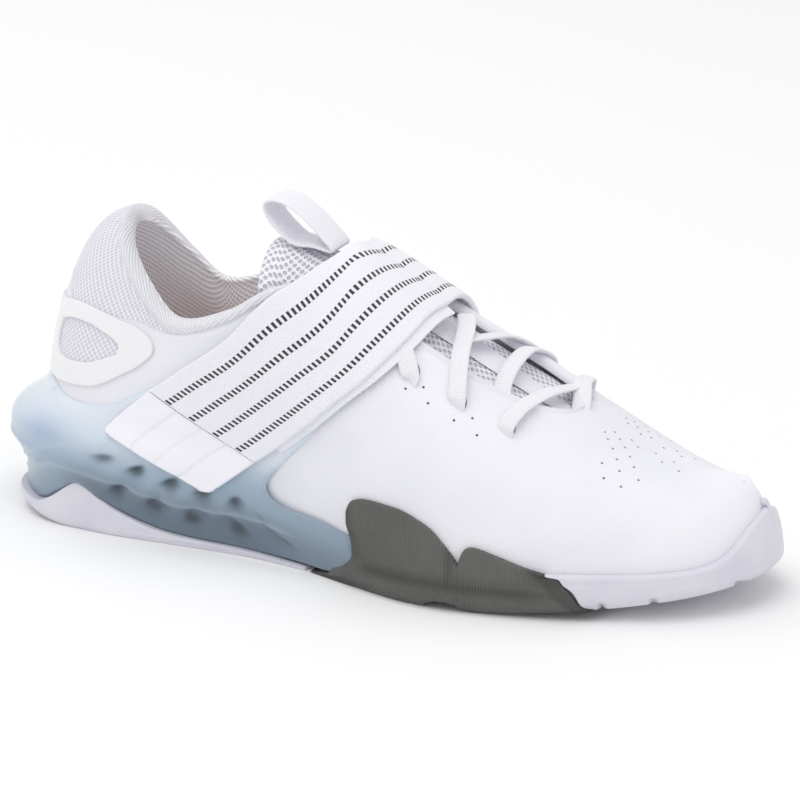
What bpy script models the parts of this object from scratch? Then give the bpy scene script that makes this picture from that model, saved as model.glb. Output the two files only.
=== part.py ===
"""Weightlifting shoe for the right foot: toe along +X, outer side towards -Y, up is +Z, in metres.

The origin is on the floor under the middle of the heel seat. Everything follows one form, the
outside of the upper: ribs that start at the feather line, where upper and sole meet, and rise to
the collar, or past it to the ridge of the instep and toe. The sole is cut from envelopes that
stand off the same ribs, and what lies on the upper is cut between two offsets of them.
"""
import math

import bmesh
import bpy
import numpy as np
from mathutils import Vector
from mathutils.bvhtree import BVHTree

# Driving sizes
LENGTH = 0.300
BALL_WIDTH = 0.105
COLLAR_HEIGHT = 0.113
INSTEP_HEIGHT = 0.109
HEEL_STACK = 0.030
FORE_STACK = 0.011
TOE_SPRING = 0.0115
HEEL_KICK = 0.0046
HEEL_SEAT = 0.040

# Walls, gaps and trim
GAP = 0.0003
WALL = 0.0024
COLLAR_PAD = 0.0056
THROAT_WALL = 0.0030
COUNTER_STEP = 0.0015
INSOLE_THICK = 0.0040
INSOLE_PLAY = 0.0008
INSOLE_SLOPE = 0.9
TONGUE_THICK = 0.0048
TONGUE_PLAY = 0.0006
STRAP_THICK = 0.0022
STRAP_LIFT = 0.0006
TAB_THICK = 0.0018
LACE_WIDTH = 0.0066
LACE_THICK = 0.0016
LACE_LIFT = 0.0009
EYELET_RADIUS = 0.0018
EYELET_BACK = 0.0130
PUNCH_DEPTH = 0.016
LOOP_WIDTH = 0.0150
WEBBING = 0.0013

# Mesh steps: columns for each row of the rib table, rows from the feather line to the edge
STEP = 3
RIB_ROWS = 10
CROWN_ROWS = 3
INNER_ROWS = 7
LEVEL_STEP = 0.08
LAST_ROW = 14
THROAT_END = 10.0
THROAT_BEND = 8.8

# One row for each rib, heel to toe: foot of the outer and inner rib, x in lengths, y in ball widths
FOOT = [
    # outer x, outer y, inner x, inner y
    (0.048, 0.000, 0.048, 0.000),
    (0.060, 0.133, 0.060, -0.129),
    (0.100, 0.252, 0.100, -0.243),
    (0.167, 0.300, 0.167, -0.281),
    (0.250, 0.310, 0.250, -0.271),
    (0.350, 0.314, 0.350, -0.257),
    (0.433, 0.348, 0.450, -0.267),
    (0.517, 0.414, 0.543, -0.333),
    (0.600, 0.467, 0.633, -0.410),
    (0.683, 0.457, 0.717, -0.438),
    (0.767, 0.410, 0.793, -0.419),
    (0.850, 0.333, 0.867, -0.362),
    (0.917, 0.224, 0.923, -0.276),
    (0.957, 0.086, 0.960, -0.162),
    (0.970, -0.048, 0.970, -0.048),
]

# Tops of the ribs round the collar, height in collar heights; the last row is the ridge's first
COLLAR = [
    # outer x, outer y, outer height, inner x, inner y, inner height
    (0.157, 0.000, 1.008, 0.157, 0.000, 1.008),
    (0.157, 0.062, 0.972, 0.169, -0.062, 0.998),
    (0.171, 0.140, 0.906, 0.182, -0.138, 0.930),
    (0.202, 0.211, 0.812, 0.204, -0.200, 0.832),
    (0.253, 0.261, 0.716, 0.242, -0.242, 0.735),
    (0.323, 0.273, 0.768, 0.307, -0.250, 0.775),
    (0.390, 0.238, 0.890, 0.377, -0.219, 0.893),
]

# Ridge over instep and toe, both sides share it, height in instep heights
RIDGE = [
    # x, y, height
    (0.453, -0.019, 1.000),
    (0.550, -0.038, 0.840),
    (0.643, -0.048, 0.700),
    (0.740, -0.067, 0.560),
    (0.820, -0.076, 0.448),
    (0.873, -0.076, 0.404),
    (0.914, -0.076, 0.398),
    (0.943, -0.070, 0.394),
]

# Shape of each rib: belly in ball widths, reach and drop in the rib's own width and height
SWELL = [
    # outer belly, outer reach, outer drop, inner belly, inner reach, inner drop
    (0.008, 0.68, 0.01, 0.008, 0.68, 0.01),
    (0.010, 0.60, 0.03, 0.010, 0.60, 0.03),
    (0.012, 0.44, 0.12, 0.012, 0.44, 0.12),
    (0.012, 0.34, 0.24, 0.012, 0.34, 0.24),
    (0.010, 0.28, 0.33, 0.008, 0.28, 0.33),
    (0.012, 0.30, 0.30, 0.004, 0.30, 0.30),
    (0.014, 0.42, 0.14, 0.004, 0.42, 0.14),
    (0.010, 0.58, 0.02, 0.004, 0.58, 0.02),
    (0.008, 0.60, 0.02, 0.006, 0.58, 0.02),
    (0.008, 0.60, 0.02, 0.008, 0.58, 0.02),
    (0.008, 0.60, 0.02, 0.008, 0.60, 0.02),
    (0.010, 0.62, 0.02, 0.010, 0.62, 0.02),
    (0.010, 0.64, 0.03, 0.010, 0.64, 0.03),
    (0.008, 0.66, 0.06, 0.008, 0.66, 0.06),
    (0.006, 0.68, 0.10, 0.006, 0.68, 0.10),
]

# Share of each rib below the throat's edge; the collar rows reach the top
THROAT = [1.0, 1.0, 1.0, 1.0, 1.0, 1.0, 0.97, 0.76, 0.755, 0.765]

# Stations where the flares of a sole piece are given
FLARE_AT = [0.0, 1.2, 2.6, 5.5, 8.5, 12.0, 14.0]

# Levels of the sole pieces: height in stacks, or 1 plus the share of the rib, then the flare at
# each of those stations in ball widths
CAGE_LEVELS = [
    # level, heel back, heel corner, heel side, waist, ball, toe side, toe tip
    (0.00, 0.072, 0.070, 0.034, 0.014, 0.014, 0.014, 0.014),
    (0.20, 0.092, 0.084, 0.036, 0.014, 0.014, 0.014, 0.014),
    (0.45, 0.090, 0.082, 0.050, 0.020, 0.016, 0.014, 0.014),
    (0.62, 0.104, 0.090, 0.062, 0.028, 0.016, 0.014, 0.014),
    (0.80, 0.136, 0.114, 0.070, 0.032, 0.016, 0.014, 0.014),
    (1.00, 0.156, 0.134, 0.074, 0.030, 0.016, 0.014, 0.014),
    (1.08, 0.128, 0.112, 0.062, 0.024, 0.015, 0.014, 0.014),
    (1.11, 0.078, 0.070, 0.048, 0.021, 0.0145, 0.0143, 0.0143),
    (1.15, 0.026, 0.025, 0.030, 0.018, 0.0143, 0.0143, 0.0143),
    (1.21, 0.0150, 0.0150, 0.0165, 0.0150, 0.0143, 0.0143, 0.0143),
    (1.28, 0.0143, 0.0143, 0.0143, 0.0143, 0.0143, 0.0143, 0.0143),
]
HEEL_TREAD_LEVELS = [
    (0.00, 0.084, 0.096, 0.048, 0.022, 0.022, 0.020, 0.020),
    (0.09, 0.100, 0.116, 0.058, 0.028, 0.026, 0.020, 0.020),
    (0.22, 0.098, 0.112, 0.058, 0.028, 0.026, 0.020, 0.020),
    (0.48, 0.082, 0.088, 0.054, 0.024, 0.024, 0.020, 0.020),
    (0.68, 0.074, 0.082, 0.058, 0.024, 0.024, 0.020, 0.020),
]
WRAP_LEVELS = [
    (0.00, 0.020, 0.020, 0.020, 0.015, 0.036, 0.030, 0.030),
    (0.25, 0.020, 0.020, 0.020, 0.018, 0.048, 0.038, 0.038),
    (1.00, 0.020, 0.020, 0.020, 0.018, 0.040, 0.034, 0.034),
    (1.10, 0.018, 0.018, 0.018, 0.017, 0.026, 0.022, 0.022),
    (1.22, 0.015, 0.015, 0.015, 0.017, 0.018, 0.017, 0.017),
    (1.40, 0.014, 0.014, 0.014, 0.014, 0.014, 0.014, 0.014),
]
FORE_TREAD_LEVELS = [
    (0.00, 0.020, 0.020, 0.020, 0.020, 0.022, 0.028, 0.026),
    (0.30, 0.020, 0.020, 0.020, 0.020, 0.036, 0.042, 0.044),
    (0.75, 0.020, 0.020, 0.020, 0.020, 0.038, 0.042, 0.048),
    (1.00, 0.020, 0.020, 0.020, 0.020, 0.034, 0.038, 0.048),
    (1.14, 0.018, 0.018, 0.018, 0.018, 0.026, 0.030, 0.043),
    (1.30, 0.016, 0.016, 0.016, 0.016, 0.020, 0.025, 0.036),
    (1.46, 0.014, 0.014, 0.014, 0.014, 0.016, 0.018, 0.026),
    (1.60, 0.012, 0.012, 0.012, 0.012, 0.012, 0.014, 0.018),
]

# Edges seen from the side: x in lengths, height in collar heights
HEEL_TREAD_EDGE = [
    # x, height
    (-0.050, 0.072), (0.030, 0.072), (0.050, 0.066), (0.067, 0.064), (0.085, 0.082),
    (0.101, 0.110), (0.118, 0.143), (0.130, 0.158), (0.145, 0.145), (0.160, 0.121),
    (0.194, 0.080), (0.235, 0.046), (0.282, 0.030), (0.325, 0.025), (0.380, 0.020),
    (0.446, 0.0115),
]
CAGE_TOP_EDGE = [
    # x, height
    (-0.050, 0.455), (0.080, 0.449), (0.096, 0.430), (0.121, 0.418), (0.142, 0.418),
    (0.170, 0.431), (0.193, 0.455), (0.234, 0.513), (0.287, 0.603), (0.340, 0.710),
    (0.393, 0.812), (0.440, 0.820), (0.482, 0.700), (0.4935, 0.576), (0.4645, 0.4896),
    (0.4407, 0.4173), (0.4172, 0.3499), (0.394, 0.2794), (0.3894, 0.2577), (0.3918, 0.2327),
    (0.4004, 0.2107), (0.4188, 0.1939), (0.4404, 0.1861), (0.470, 0.1781), (0.4999, 0.1613),
    (0.5147, 0.1476),
]
WRAP_REAR_EDGE = [
    # x, height, from the floor up
    (0.450, -0.045), (0.450, 0.001), (0.478, 0.012), (0.498, 0.022), (0.508, 0.038),
    (0.5155, 0.059), (0.5205, 0.088), (0.5195, 0.114), (0.516, 0.149), (0.508, 0.200),
    (0.5072, 0.2456),
]
WRAP_TOP_EDGE = [
    # x, height, rear to front
    (0.5128, 0.2748), (0.5268, 0.2891), (0.5567, 0.2905), (0.5845, 0.2832), (0.6115, 0.2581),
    (0.626, 0.236), (0.640, 0.202), (0.6519, 0.169), (0.6601, 0.1435), (0.6625, 0.170),
    (0.668, 0.198), (0.680, 0.202), (0.7109, 0.1786), (0.740, 0.153), (0.7618, 0.1382),
]
WRAP_FRONT_EDGE = [
    # x, height, from the top down
    (0.7822, 0.1156), (0.7951, 0.090), (0.8051, 0.0454), (0.820, -0.045),
]
FORE_TREAD_TOP_EDGE = [
    # x, height, rear to front
    (0.763, 0.1395), (0.800, 0.143), (0.8318, 0.1465), (0.8742, 0.1485), (0.9178, 0.156),
    (0.9392, 0.169), (0.952, 0.190), (0.9607, 0.226), (0.968, 0.268), (0.973, 0.300),
    (0.985, 0.318), (1.050, 0.330),
]
COUNTER_EDGE = [
    # x, height
    (-0.050, 0.4615), (0.0778, 0.4615), (0.1082, 0.4654), (0.1423, 0.4738), (0.1685, 0.4991),
    (0.1972, 0.5429), (0.2116, 0.5672), (0.228, 0.6078), (0.2299, 0.6337), (0.2218, 0.6619),
    (0.2039, 0.6863), (0.1774, 0.7005), (0.1454, 0.7177), (0.120, 0.7269), (0.086, 0.7135),
    (-0.050, 0.7135),
]
COUNTER_WINDOW = [
    # x, height
    (0.084, 0.545), (0.1161, 0.5429), (0.140, 0.5513), (0.1659, 0.5774), (0.1782, 0.5952),
    (0.180, 0.621), (0.1659, 0.6432), (0.1344, 0.6692), (0.1077, 0.6698), (0.0909, 0.6543),
    (0.084, 0.640),
]

# Share of the rib that the cage's envelope covers: past its arms, and past the ridge for what
# is laid over it
CAGE_REACH = 0.86
FULL_REACH = 1.001

# Dents of the cage's side: x in lengths, height in stacks, half length in lengths, half height
# in stacks, depth in ball widths
DENTS = [
    (0.172, 0.88, 0.026, 0.110, 0.018),
    (0.217, 0.84, 0.023, 0.110, 0.022),
    (0.261, 0.79, 0.023, 0.115, 0.024),
    (0.304, 0.77, 0.023, 0.115, 0.022),
    (0.347, 0.76, 0.020, 0.120, 0.016),
    (0.190, 0.58, 0.023, 0.115, 0.020),
    (0.238, 0.47, 0.023, 0.115, 0.022),
    (0.289, 0.41, 0.023, 0.110, 0.020),
    (0.348, 0.38, 0.024, 0.110, 0.014),
    (0.410, 0.42, 0.026, 0.080, 0.008),
]

# Heart of the form, about which angles are counted: y in ball widths, height in collar heights
HEART = (-0.03, 0.30)

# Route of the strap over the form: for each edge the angle from the top, outer side negative,
# and the place in lengths
STRAP_ROUTE = [
    # rear angle, rear x, front angle, front x
    (-56.6, 0.233, -85.0, 0.380),
    (-46.0, 0.278, -69.8, 0.428),
    (-34.5, 0.345, -55.0, 0.478),
    (-24.0, 0.400, -42.0, 0.524),
    (-12.0, 0.436, -27.0, 0.552),
    (0.5, 0.460, -8.0, 0.563),
    (15.0, 0.470, 12.0, 0.568),
    (35.0, 0.478, 33.0, 0.574),
    (54.0, 0.484, 54.0, 0.582),
    (70.0, 0.488, 70.0, 0.600),
    (82.0, 0.490, 82.0, 0.604),
]
TAB_ROUTE = [
    # rear angle, rear x, front angle, front x
    (-82.0, 0.172, -105.5, 0.317),
    (-69.3, 0.197, -95.6, 0.349),
    (-57.5, 0.2305, -86.0, 0.3775),
]

# Tongue: shift to the outer side in ball widths, fall of its sides in collar heights, how far
# the sides lie forward of the middle for that fall, and how its free top thins to the sides
TONGUE_SHIFT = 0.012
TONGUE_FALL = 0.105
TONGUE_LEAN = 0.25
TONGUE_PLUMP = 1.25
TONGUE_THIN = 0.35
TONGUE_TILT = 0.30

# Free top of the tongue, then its reach round the form under the throat
TONGUE_TOP = [
    # x, height of the middle in instep heights, half width in ball widths: rear to front
    (0.346, 1.004, 0.200),
    (0.362, 1.012, 0.190),
    (0.386, 1.005, 0.170),
]
TONGUE_ARC = [
    # x, half angle
    (0.480, 30.0), (0.520, 38.0), (0.570, 42.0), (0.620, 40.0), (0.670, 38.0),
    (0.705, 35.0), (0.735, 30.0), (0.760, 22.0),
]

# Eyelets as places on the ring, and the runs of the lace between them
EYELETS = [7.25, 7.90, 8.58, 9.25]
LACE_RUNS = [
    # start x, start angle, end x, end angle, layer
    (0.567, -38.0, 0.655, 42.0, 0),
    (0.596, -3.0, 0.625, -44.0, 1),
    (0.655, 42.0, 0.683, -50.0, 1),
    (0.683, -50.0, 0.716, 46.0, 0),
]
LOOP_PATH = [
    # x in lengths, height in instep heights, round the loop from its front foot
    (0.434, 1.006), (0.420, 1.052), (0.396, 1.110), (0.372, 1.148), (0.353, 1.153), (0.345, 1.130),
    (0.351, 1.090), (0.366, 1.048), (0.384, 1.0155), (0.408, 1.0145),
]
NOTCH_AT = 0.622
NOTCH_RADIUS = 0.0022

COLOURS = {
    # finish: red, green, blue, roughness
    "upper_synthetic": (0.86, 0.86, 0.88, 0.55),
    "mesh_textile": (0.80, 0.80, 0.82, 0.85),
    "cage_plastic": (0.52, 0.62, 0.70, 0.30),
    "pale_rubber": (0.76, 0.76, 0.80, 0.55),
    "dark_rubber": (0.115, 0.115, 0.108, 0.60),
    "strap_webbing": (0.84, 0.84, 0.86, 0.75),
    "insole_foam": (0.55, 0.54, 0.55, 0.90),
    "lace_cotton": (0.88, 0.88, 0.89, 0.85),
}


def smoothstep(value):
    """Rise from 0 to 1 without a corner."""
    value = np.clip(value, 0.0, 1.0)
    return value * value * (3.0 - 2.0 * value)


def through(rows, at, closed=False):
    """Smooth curve through the rows of a table, at positions counted in rows."""
    rows = np.asarray(rows, float)
    at = np.asarray(at, float)
    count = len(rows)
    if closed:
        low = np.floor(at).astype(int)
        before, start, end, after = (rows[(low + shift) % count] for shift in (-1, 0, 1, 2))
    else:
        low = np.clip(np.floor(at).astype(int), 0, count - 2)
        padded = np.concatenate([[2 * rows[0] - rows[1]], rows, [2 * rows[-1] - rows[-2]]])
        before, start, end, after = (padded[low + shift] for shift in (0, 1, 2, 3))
    part = (at - low).reshape(at.shape + (1,) * (rows.ndim - 1))
    rise, run = (end - before) / 2.0, (after - start) / 2.0
    return (start * (2 * part**3 - 3 * part**2 + 1) + rise * (part**3 - 2 * part**2 + part)
            + end * (3 * part**2 - 2 * part**3) + run * (part**3 - part**2))


def both_sides(table, width):
    """Rows of a table with outer and inner columns as one ring: out to the toe and back."""
    table = np.asarray(table, float)
    return np.concatenate([table[:, :width], table[-2:0:-1, width:2 * width]])


FOOT_RING = both_sides(FOOT, 2)
SWELL_RING = both_sides(SWELL, 3)


def bed(x):
    """Height of the foot bed, where upper and sole meet."""
    share = x / LENGTH
    fall = smoothstep((share - 0.20) / 0.42)
    tip = np.clip((share - 0.64) / 0.33, 0.0, 1.2)
    return HEEL_STACK + (FORE_STACK - HEEL_STACK) * fall + 0.60 * TOE_SPRING * tip**1.7


def ground(x):
    """Height of the tread's underside: flat, with a kick at the heel and the toe spring."""
    share = x / LENGTH
    heel = np.clip((0.118 - share) / 0.100, 0.0, 1.3)
    tip = np.clip((share - 0.64) / 0.34, 0.0, 1.2)
    return HEEL_KICK * heel**1.5 + TOE_SPRING * tip**1.6


def rib_tops(ring):
    """Tops of the ribs at places on the ring, 0 at the heel and 14 at the toe, then back."""
    station = np.where(ring > LAST_ROW, 2 * LAST_ROW - ring, ring)
    side = np.where(ring > LAST_ROW, -1.0, 1.0)
    collar = np.asarray(COLLAR, float)
    size = np.array([LENGTH, BALL_WIDTH, COLLAR_HEIGHT])
    ridge = np.asarray(RIDGE, float) * np.array([LENGTH, BALL_WIDTH, INSTEP_HEIGHT])
    front = ridge[:1]
    rim = np.concatenate([front, collar[:0:-1, 3:] * size, collar[:, :3] * size, front])
    reach = len(collar)
    on_rim = through(rim, reach + side * np.minimum(station, reach))
    on_ridge = through(ridge, np.clip(station - reach, 0, len(ridge) - 1))
    return np.where((station < reach)[..., None], on_rim, on_ridge)


def rib_point(ring, share):
    """Point of the outer form on the rib at a place on the ring, at a share of its length."""
    foot_xy = through(FOOT_RING, ring, closed=True) * np.array([LENGTH, BALL_WIDTH])
    swell = through(SWELL_RING, ring, closed=True)
    top = rib_tops(ring)
    foot = np.concatenate([foot_xy, bed(foot_xy[..., :1])], axis=-1)
    span = top - foot
    flat = span * np.array([1.0, 1.0, 0.0])
    rise = span * np.array([0.0, 0.0, 1.0])
    out = -flat / np.maximum(np.linalg.norm(flat, axis=-1, keepdims=True), 1e-9)
    low = foot + 0.45 * rise + out * swell[..., :1] * BALL_WIDTH
    high = top - flat * swell[..., 1:2] - rise * swell[..., 2:3]
    share = np.asarray(share, float)[..., None]
    left = 1.0 - share
    return foot * left**3 + 3 * low * left**2 * share + 3 * high * left * share**2 + top * share**3


def rib_normal(ring, share):
    """Outward normal of the outer form; the two sides agree where they meet."""
    station = np.where(ring > LAST_ROW, 2 * LAST_ROW - ring, ring)
    near = np.where(station > len(COLLAR), np.minimum(share, 0.97), share)

    def one(at):
        nudge = 0.02
        along = rib_point(at + nudge, near) - rib_point(at - nudge, near)
        high, low = np.minimum(near + nudge, 1.0), np.maximum(near - nudge, 0.0)
        across = rib_point(at, high) - rib_point(at, low)
        normal = np.cross(across, along)
        return normal / np.linalg.norm(normal, axis=-1, keepdims=True)

    normal, twin = one(ring), one(2 * LAST_ROW - ring)
    shared = (share > 0.999) & (station > len(COLLAR)) | (ring == 0) | (ring == LAST_ROW)
    normal = np.where(shared[..., None], normal + twin, normal)
    return normal / np.linalg.norm(normal, axis=-1, keepdims=True)


def throat_share(station):
    """Share of the rib at the throat's edge, with a round front end."""
    bend = np.clip((station - THROAT_BEND) / (THROAT_END - THROAT_BEND), 0.0, 1.0)
    side = through(np.asarray(THROAT)[:, None], np.minimum(station, THROAT_BEND))[..., 0]
    return np.where(station < THROAT_BEND, np.minimum(side, 1.0),
                    1.0 - (1.0 - THROAT[-1]) * np.sqrt(1.0 - bend**2))


RING = np.arange(2 * LAST_ROW * STEP) / STEP
STATION = np.where(RING > LAST_ROW, 2 * LAST_ROW - RING, RING)
EDGE = throat_share(STATION)


def world(points):
    """From the form's axes, x from the heel and y to the outer side, to the shoe's frame."""
    return np.asarray(points) * np.array([1.0, -1.0, 1.0]) - np.array([HEEL_SEAT, 0.0, 0.0])


def form_rows(offset):
    """Grid of the outer form moved out by an offset: up to the edge, then on to the crown."""
    shares = [EDGE * row / RIB_ROWS for row in range(RIB_ROWS + 1)]
    shares += [EDGE + (1.0 - EDGE) * row / CROWN_ROWS for row in range(1, CROWN_ROWS + 1)]
    return np.array([rib_point(RING, share) + offset * rib_normal(RING, share) for share in shares])


def level_rows(levels, top=None):
    """Grid of a sole piece's envelope, one row for each level of its table."""
    table = np.asarray(levels, float)
    stations = np.asarray(FLARE_AT)
    rows = []
    for level, *flares in table:
        place = np.interp(STATION, stations, np.arange(len(stations)))
        flare = through(np.asarray(flares)[:, None], place)[..., 0] * BALL_WIDTH
        up = max(level - 1.0, 0.0)
        base = rib_point(RING, np.full_like(RING, up))
        normal = rib_normal(RING, np.full_like(RING, up))
        if level <= 1.0:
            normal = normal * np.array([1.0, 1.0, 0.0])
            normal /= np.linalg.norm(normal, axis=-1, keepdims=True)
        point = base + normal * flare[:, None]
        if level < 1.0:
            low = ground(point[:, 0])
            point[:, 2] = low + level * (bed(base[:, 0]) - low)
        rows.append(point)
    if top is not None:
        flare = table[-1, 1] * BALL_WIDTH
        for up in np.arange(table[-1, 0] - 1.0 + LEVEL_STEP, top, LEVEL_STEP):
            share = np.full_like(RING, up)
            rows.append(rib_point(RING, share) + flare * rib_normal(RING, share))
    return np.array(rows)


def pair_caps(row, count, flip):
    """Faces across the shoe that join each outer column of a row to its inner twin."""
    half = count // 2
    faces = []
    for left in range(half):
        right = left + 1
        corners = [left, right, (count - right) % count, (count - left) % count]
        ring = [row * count + corner for corner in dict.fromkeys(corners)]
        faces.append(ring[::-1] if flip else ring)
    return faces


def new_object(name, vertices, faces, finish=None, place=True):
    """Mesh object from points in the form's axes; doubles are welded and normals face out."""
    mesh = bpy.data.meshes.new(name)
    points = world(vertices) if place else np.asarray(vertices)
    mesh.from_pydata([tuple(point) for point in points.reshape(-1, 3)], [], faces)
    shape = bmesh.new()
    shape.from_mesh(mesh)
    bmesh.ops.remove_doubles(shape, verts=shape.verts, dist=1e-6)
    bmesh.ops.dissolve_degenerate(shape, dist=1e-7, edges=shape.edges)
    bmesh.ops.recalc_face_normals(shape, faces=shape.faces)
    shape.to_mesh(mesh)
    shape.free()
    made = bpy.data.objects.new(name, mesh)
    SHOE.objects.link(made)
    if finish:
        dress(made, finish)
    return made


def ring_faces(rows, count):
    """Quads between neighbouring rows of a ring grid."""
    faces = []
    for row in range(rows - 1):
        for column in range(count):
            after = (column + 1) % count
            low, high = row * count, (row + 1) * count
            faces.append([low + column, low + after, high + after, high + column])
    return faces


def ring_solid(name, rows):
    """Closed solid from a ring grid, capped below and above."""
    rows = np.asarray(rows)
    count = rows.shape[1]
    faces = ring_faces(len(rows), count) + pair_caps(0, count, True)
    faces += pair_caps(len(rows) - 1, count, False)
    return new_object(name, rows.reshape(-1, 3), faces)


def as_cutter(piece):
    """Keep a solid as a guide that cuts others and isn't part of the shoe."""
    SHOE.objects.unlink(piece)
    GUIDES.objects.link(piece)
    piece.hide_render = True
    piece.display_type = 'WIRE'
    return piece


def form_solid(name, offset):
    """The closed outer form, moved out by an offset, as a guide."""
    rows = form_rows(offset)
    rows[0][:, 2] -= offset
    return as_cutter(ring_solid(name, rows))


def prism(name, outline, low=-1.0, high=1.0):
    """Guide: a side outline in lengths and collar heights, pulled across the shoe."""
    flat = np.asarray(outline, float) * np.array([LENGTH, COLLAR_HEIGHT])
    count = len(flat)
    points = [(x, y, z) for y in (low * BALL_WIDTH, high * BALL_WIDTH) for x, z in flat]
    faces = [list(range(count)), list(range(2 * count - 1, count - 1, -1))]
    faces += [[k, (k + 1) % count, count + (k + 1) % count, count + k] for k in range(count)]
    return as_cutter(new_object(name, points, faces))


def cut(piece, guide, operation='DIFFERENCE'):
    """Apply a Boolean of a piece with a guide."""
    step = piece.modifiers.new(guide.name, 'BOOLEAN')
    step.object = guide
    step.operation = operation
    step.solver = 'EXACT'
    view = bpy.context.evaluated_depsgraph_get()
    old = piece.data
    piece.data = bpy.data.meshes.new_from_object(piece.evaluated_get(view))
    piece.modifiers.clear()
    bpy.data.meshes.remove(old)


def tidy(piece, finish):
    """Weld slivers left by the cuts, shade the piece smooth and give it its finish."""
    shape = bmesh.new()
    shape.from_mesh(piece.data)
    bmesh.ops.remove_doubles(shape, verts=shape.verts, dist=2e-6)
    bmesh.ops.dissolve_degenerate(shape, dist=1e-6, edges=shape.edges)
    shape.to_mesh(piece.data)
    shape.free()
    dress(piece, finish)


def dress(piece, finish):
    """Give a piece its material."""
    material = bpy.data.materials.get(finish)
    if material is None:
        red, green, blue, rough = COLOURS[finish]
        material = bpy.data.materials.new(finish)
        material.use_nodes = True
        shader = material.node_tree.nodes["Principled BSDF"]
        shader.inputs["Base Color"].default_value = (red, green, blue, 1.0)
        shader.inputs["Roughness"].default_value = rough
        shader.inputs["Metallic"].default_value = 0.0
    piece.data.materials.clear()
    piece.data.materials.append(material)
    piece.data.shade_smooth()
    piece.data.set_sharp_from_angle(angle=math.radians(35))


def edge_thickness(station, share):
    """Thickness of the upper: a thin wall that swells to the padded collar."""
    rise = smoothstep((share - 0.45) / 0.40)
    collar = 1.0 - smoothstep((station - 4.4) / 2.0)
    edge = THROAT_WALL + (COLLAR_PAD - THROAT_WALL) * collar
    return WALL + (edge - WALL) * rise * (station < THROAT_END)


def make_upper():
    """Hollow upper: outer form, rolled edge at collar and throat, and inner wall."""
    count = len(RING)
    outer = form_rows(0.0)[:RIB_ROWS + 1]
    inner = []
    for row in range(INNER_ROWS + 1):
        part = 1.0 - row / INNER_ROWS
        share = EDGE * part
        depth = edge_thickness(STATION, part)[:, None]
        inner.append(rib_point(RING, share) - depth * rib_normal(RING, share))
    roll = []
    edge_tangent = outer[-1] - outer[-2]
    edge_tangent /= np.linalg.norm(edge_tangent, axis=-1, keepdims=True)
    shut = (STATION > THROAT_END - 0.01)[:, None]
    edge_tangent = np.where(shut, np.array([-1.0, 0.0, 0.0]), edge_tangent)
    for part in (0.2, 0.5, 0.8):
        width = np.linalg.norm(outer[-1] - inner[0], axis=-1, keepdims=True)
        swell = edge_tangent * width * math.sqrt(0.25 - (part - 0.5)**2) * 0.9
        point = outer[-1] + (inner[0] - outer[-1]) * part + swell
        point[:, 1:2] = np.where(shut, outer[-1][:, 1:2], point[:, 1:2])
        roll.append(point)
    rows = np.array(list(outer) + roll + inner)
    faces = []
    first_roll, last_roll = RIB_ROWS, RIB_ROWS + len(roll) + 1
    for row in range(len(rows) - 1):
        rolled = first_roll <= row < last_roll
        for column in range(count):
            after = (column + 1) % count
            if rolled and shut[column, 0] and shut[after, 0]:
                continue
            low, high = row * count, (row + 1) * count
            faces.append([low + column, low + after, high + after, high + column])
    last = (len(rows) - 1) * count
    for column in range(count):
        after = (column + 1) % count
        faces.append([last + column, last + after, after, column])
    upper = new_object("upper", rows.reshape(-1, 3), faces)
    for side in (1, -1):
        for number, station in enumerate(EYELETS):
            ring = np.array([station if side > 0 else 2 * LAST_ROW - station])
            share = throat_share(np.array([station]))
            edge = rib_point(ring, share)[0]
            down = rib_point(ring, share - 0.05)[0] - edge
            down *= EYELET_BACK / np.linalg.norm(down)
            normal = rib_normal(ring, share)[0]
            punch(upper, f"eyelet_guide_{side}_{number}", edge + down, normal)
    tidy(upper, "upper_synthetic")
    return upper


def punch(piece, name, place, normal):
    """Cut a round hole through a piece along a normal of the form."""
    shape = bmesh.new()
    bmesh.ops.create_cone(shape, cap_ends=True, segments=8, radius1=EYELET_RADIUS,
                          radius2=EYELET_RADIUS, depth=PUNCH_DEPTH)
    mesh = bpy.data.meshes.new(name)
    shape.to_mesh(mesh)
    shape.free()
    guide = bpy.data.objects.new(name, mesh)
    SHOE.objects.link(guide)
    as_cutter(guide)
    axis = Vector(normal * np.array([1.0, -1.0, 1.0]))
    guide.rotation_euler = axis.to_track_quat('Z', 'Y').to_euler()
    guide.location = Vector(world(place))
    bpy.context.view_layer.update()
    cut(piece, guide)


def press_dents(rows, levels):
    """Push the dents of the cage's side into a grid of levels."""
    for row, level in enumerate(levels):
        if level > 1.0:
            continue
        x = rows[row][:, 0]
        inward = -rib_normal(RING, np.zeros_like(RING)) * np.array([1.0, 1.0, 0.0])
        for at, height, half_length, half_height, depth in DENTS:
            away = ((x / LENGTH - at) / half_length)**2 + ((level - height) / half_height)**2
            rows[row] += inward * (depth * BALL_WIDTH * np.exp(-1.2 * away**2))[:, None]
    return rows


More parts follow.
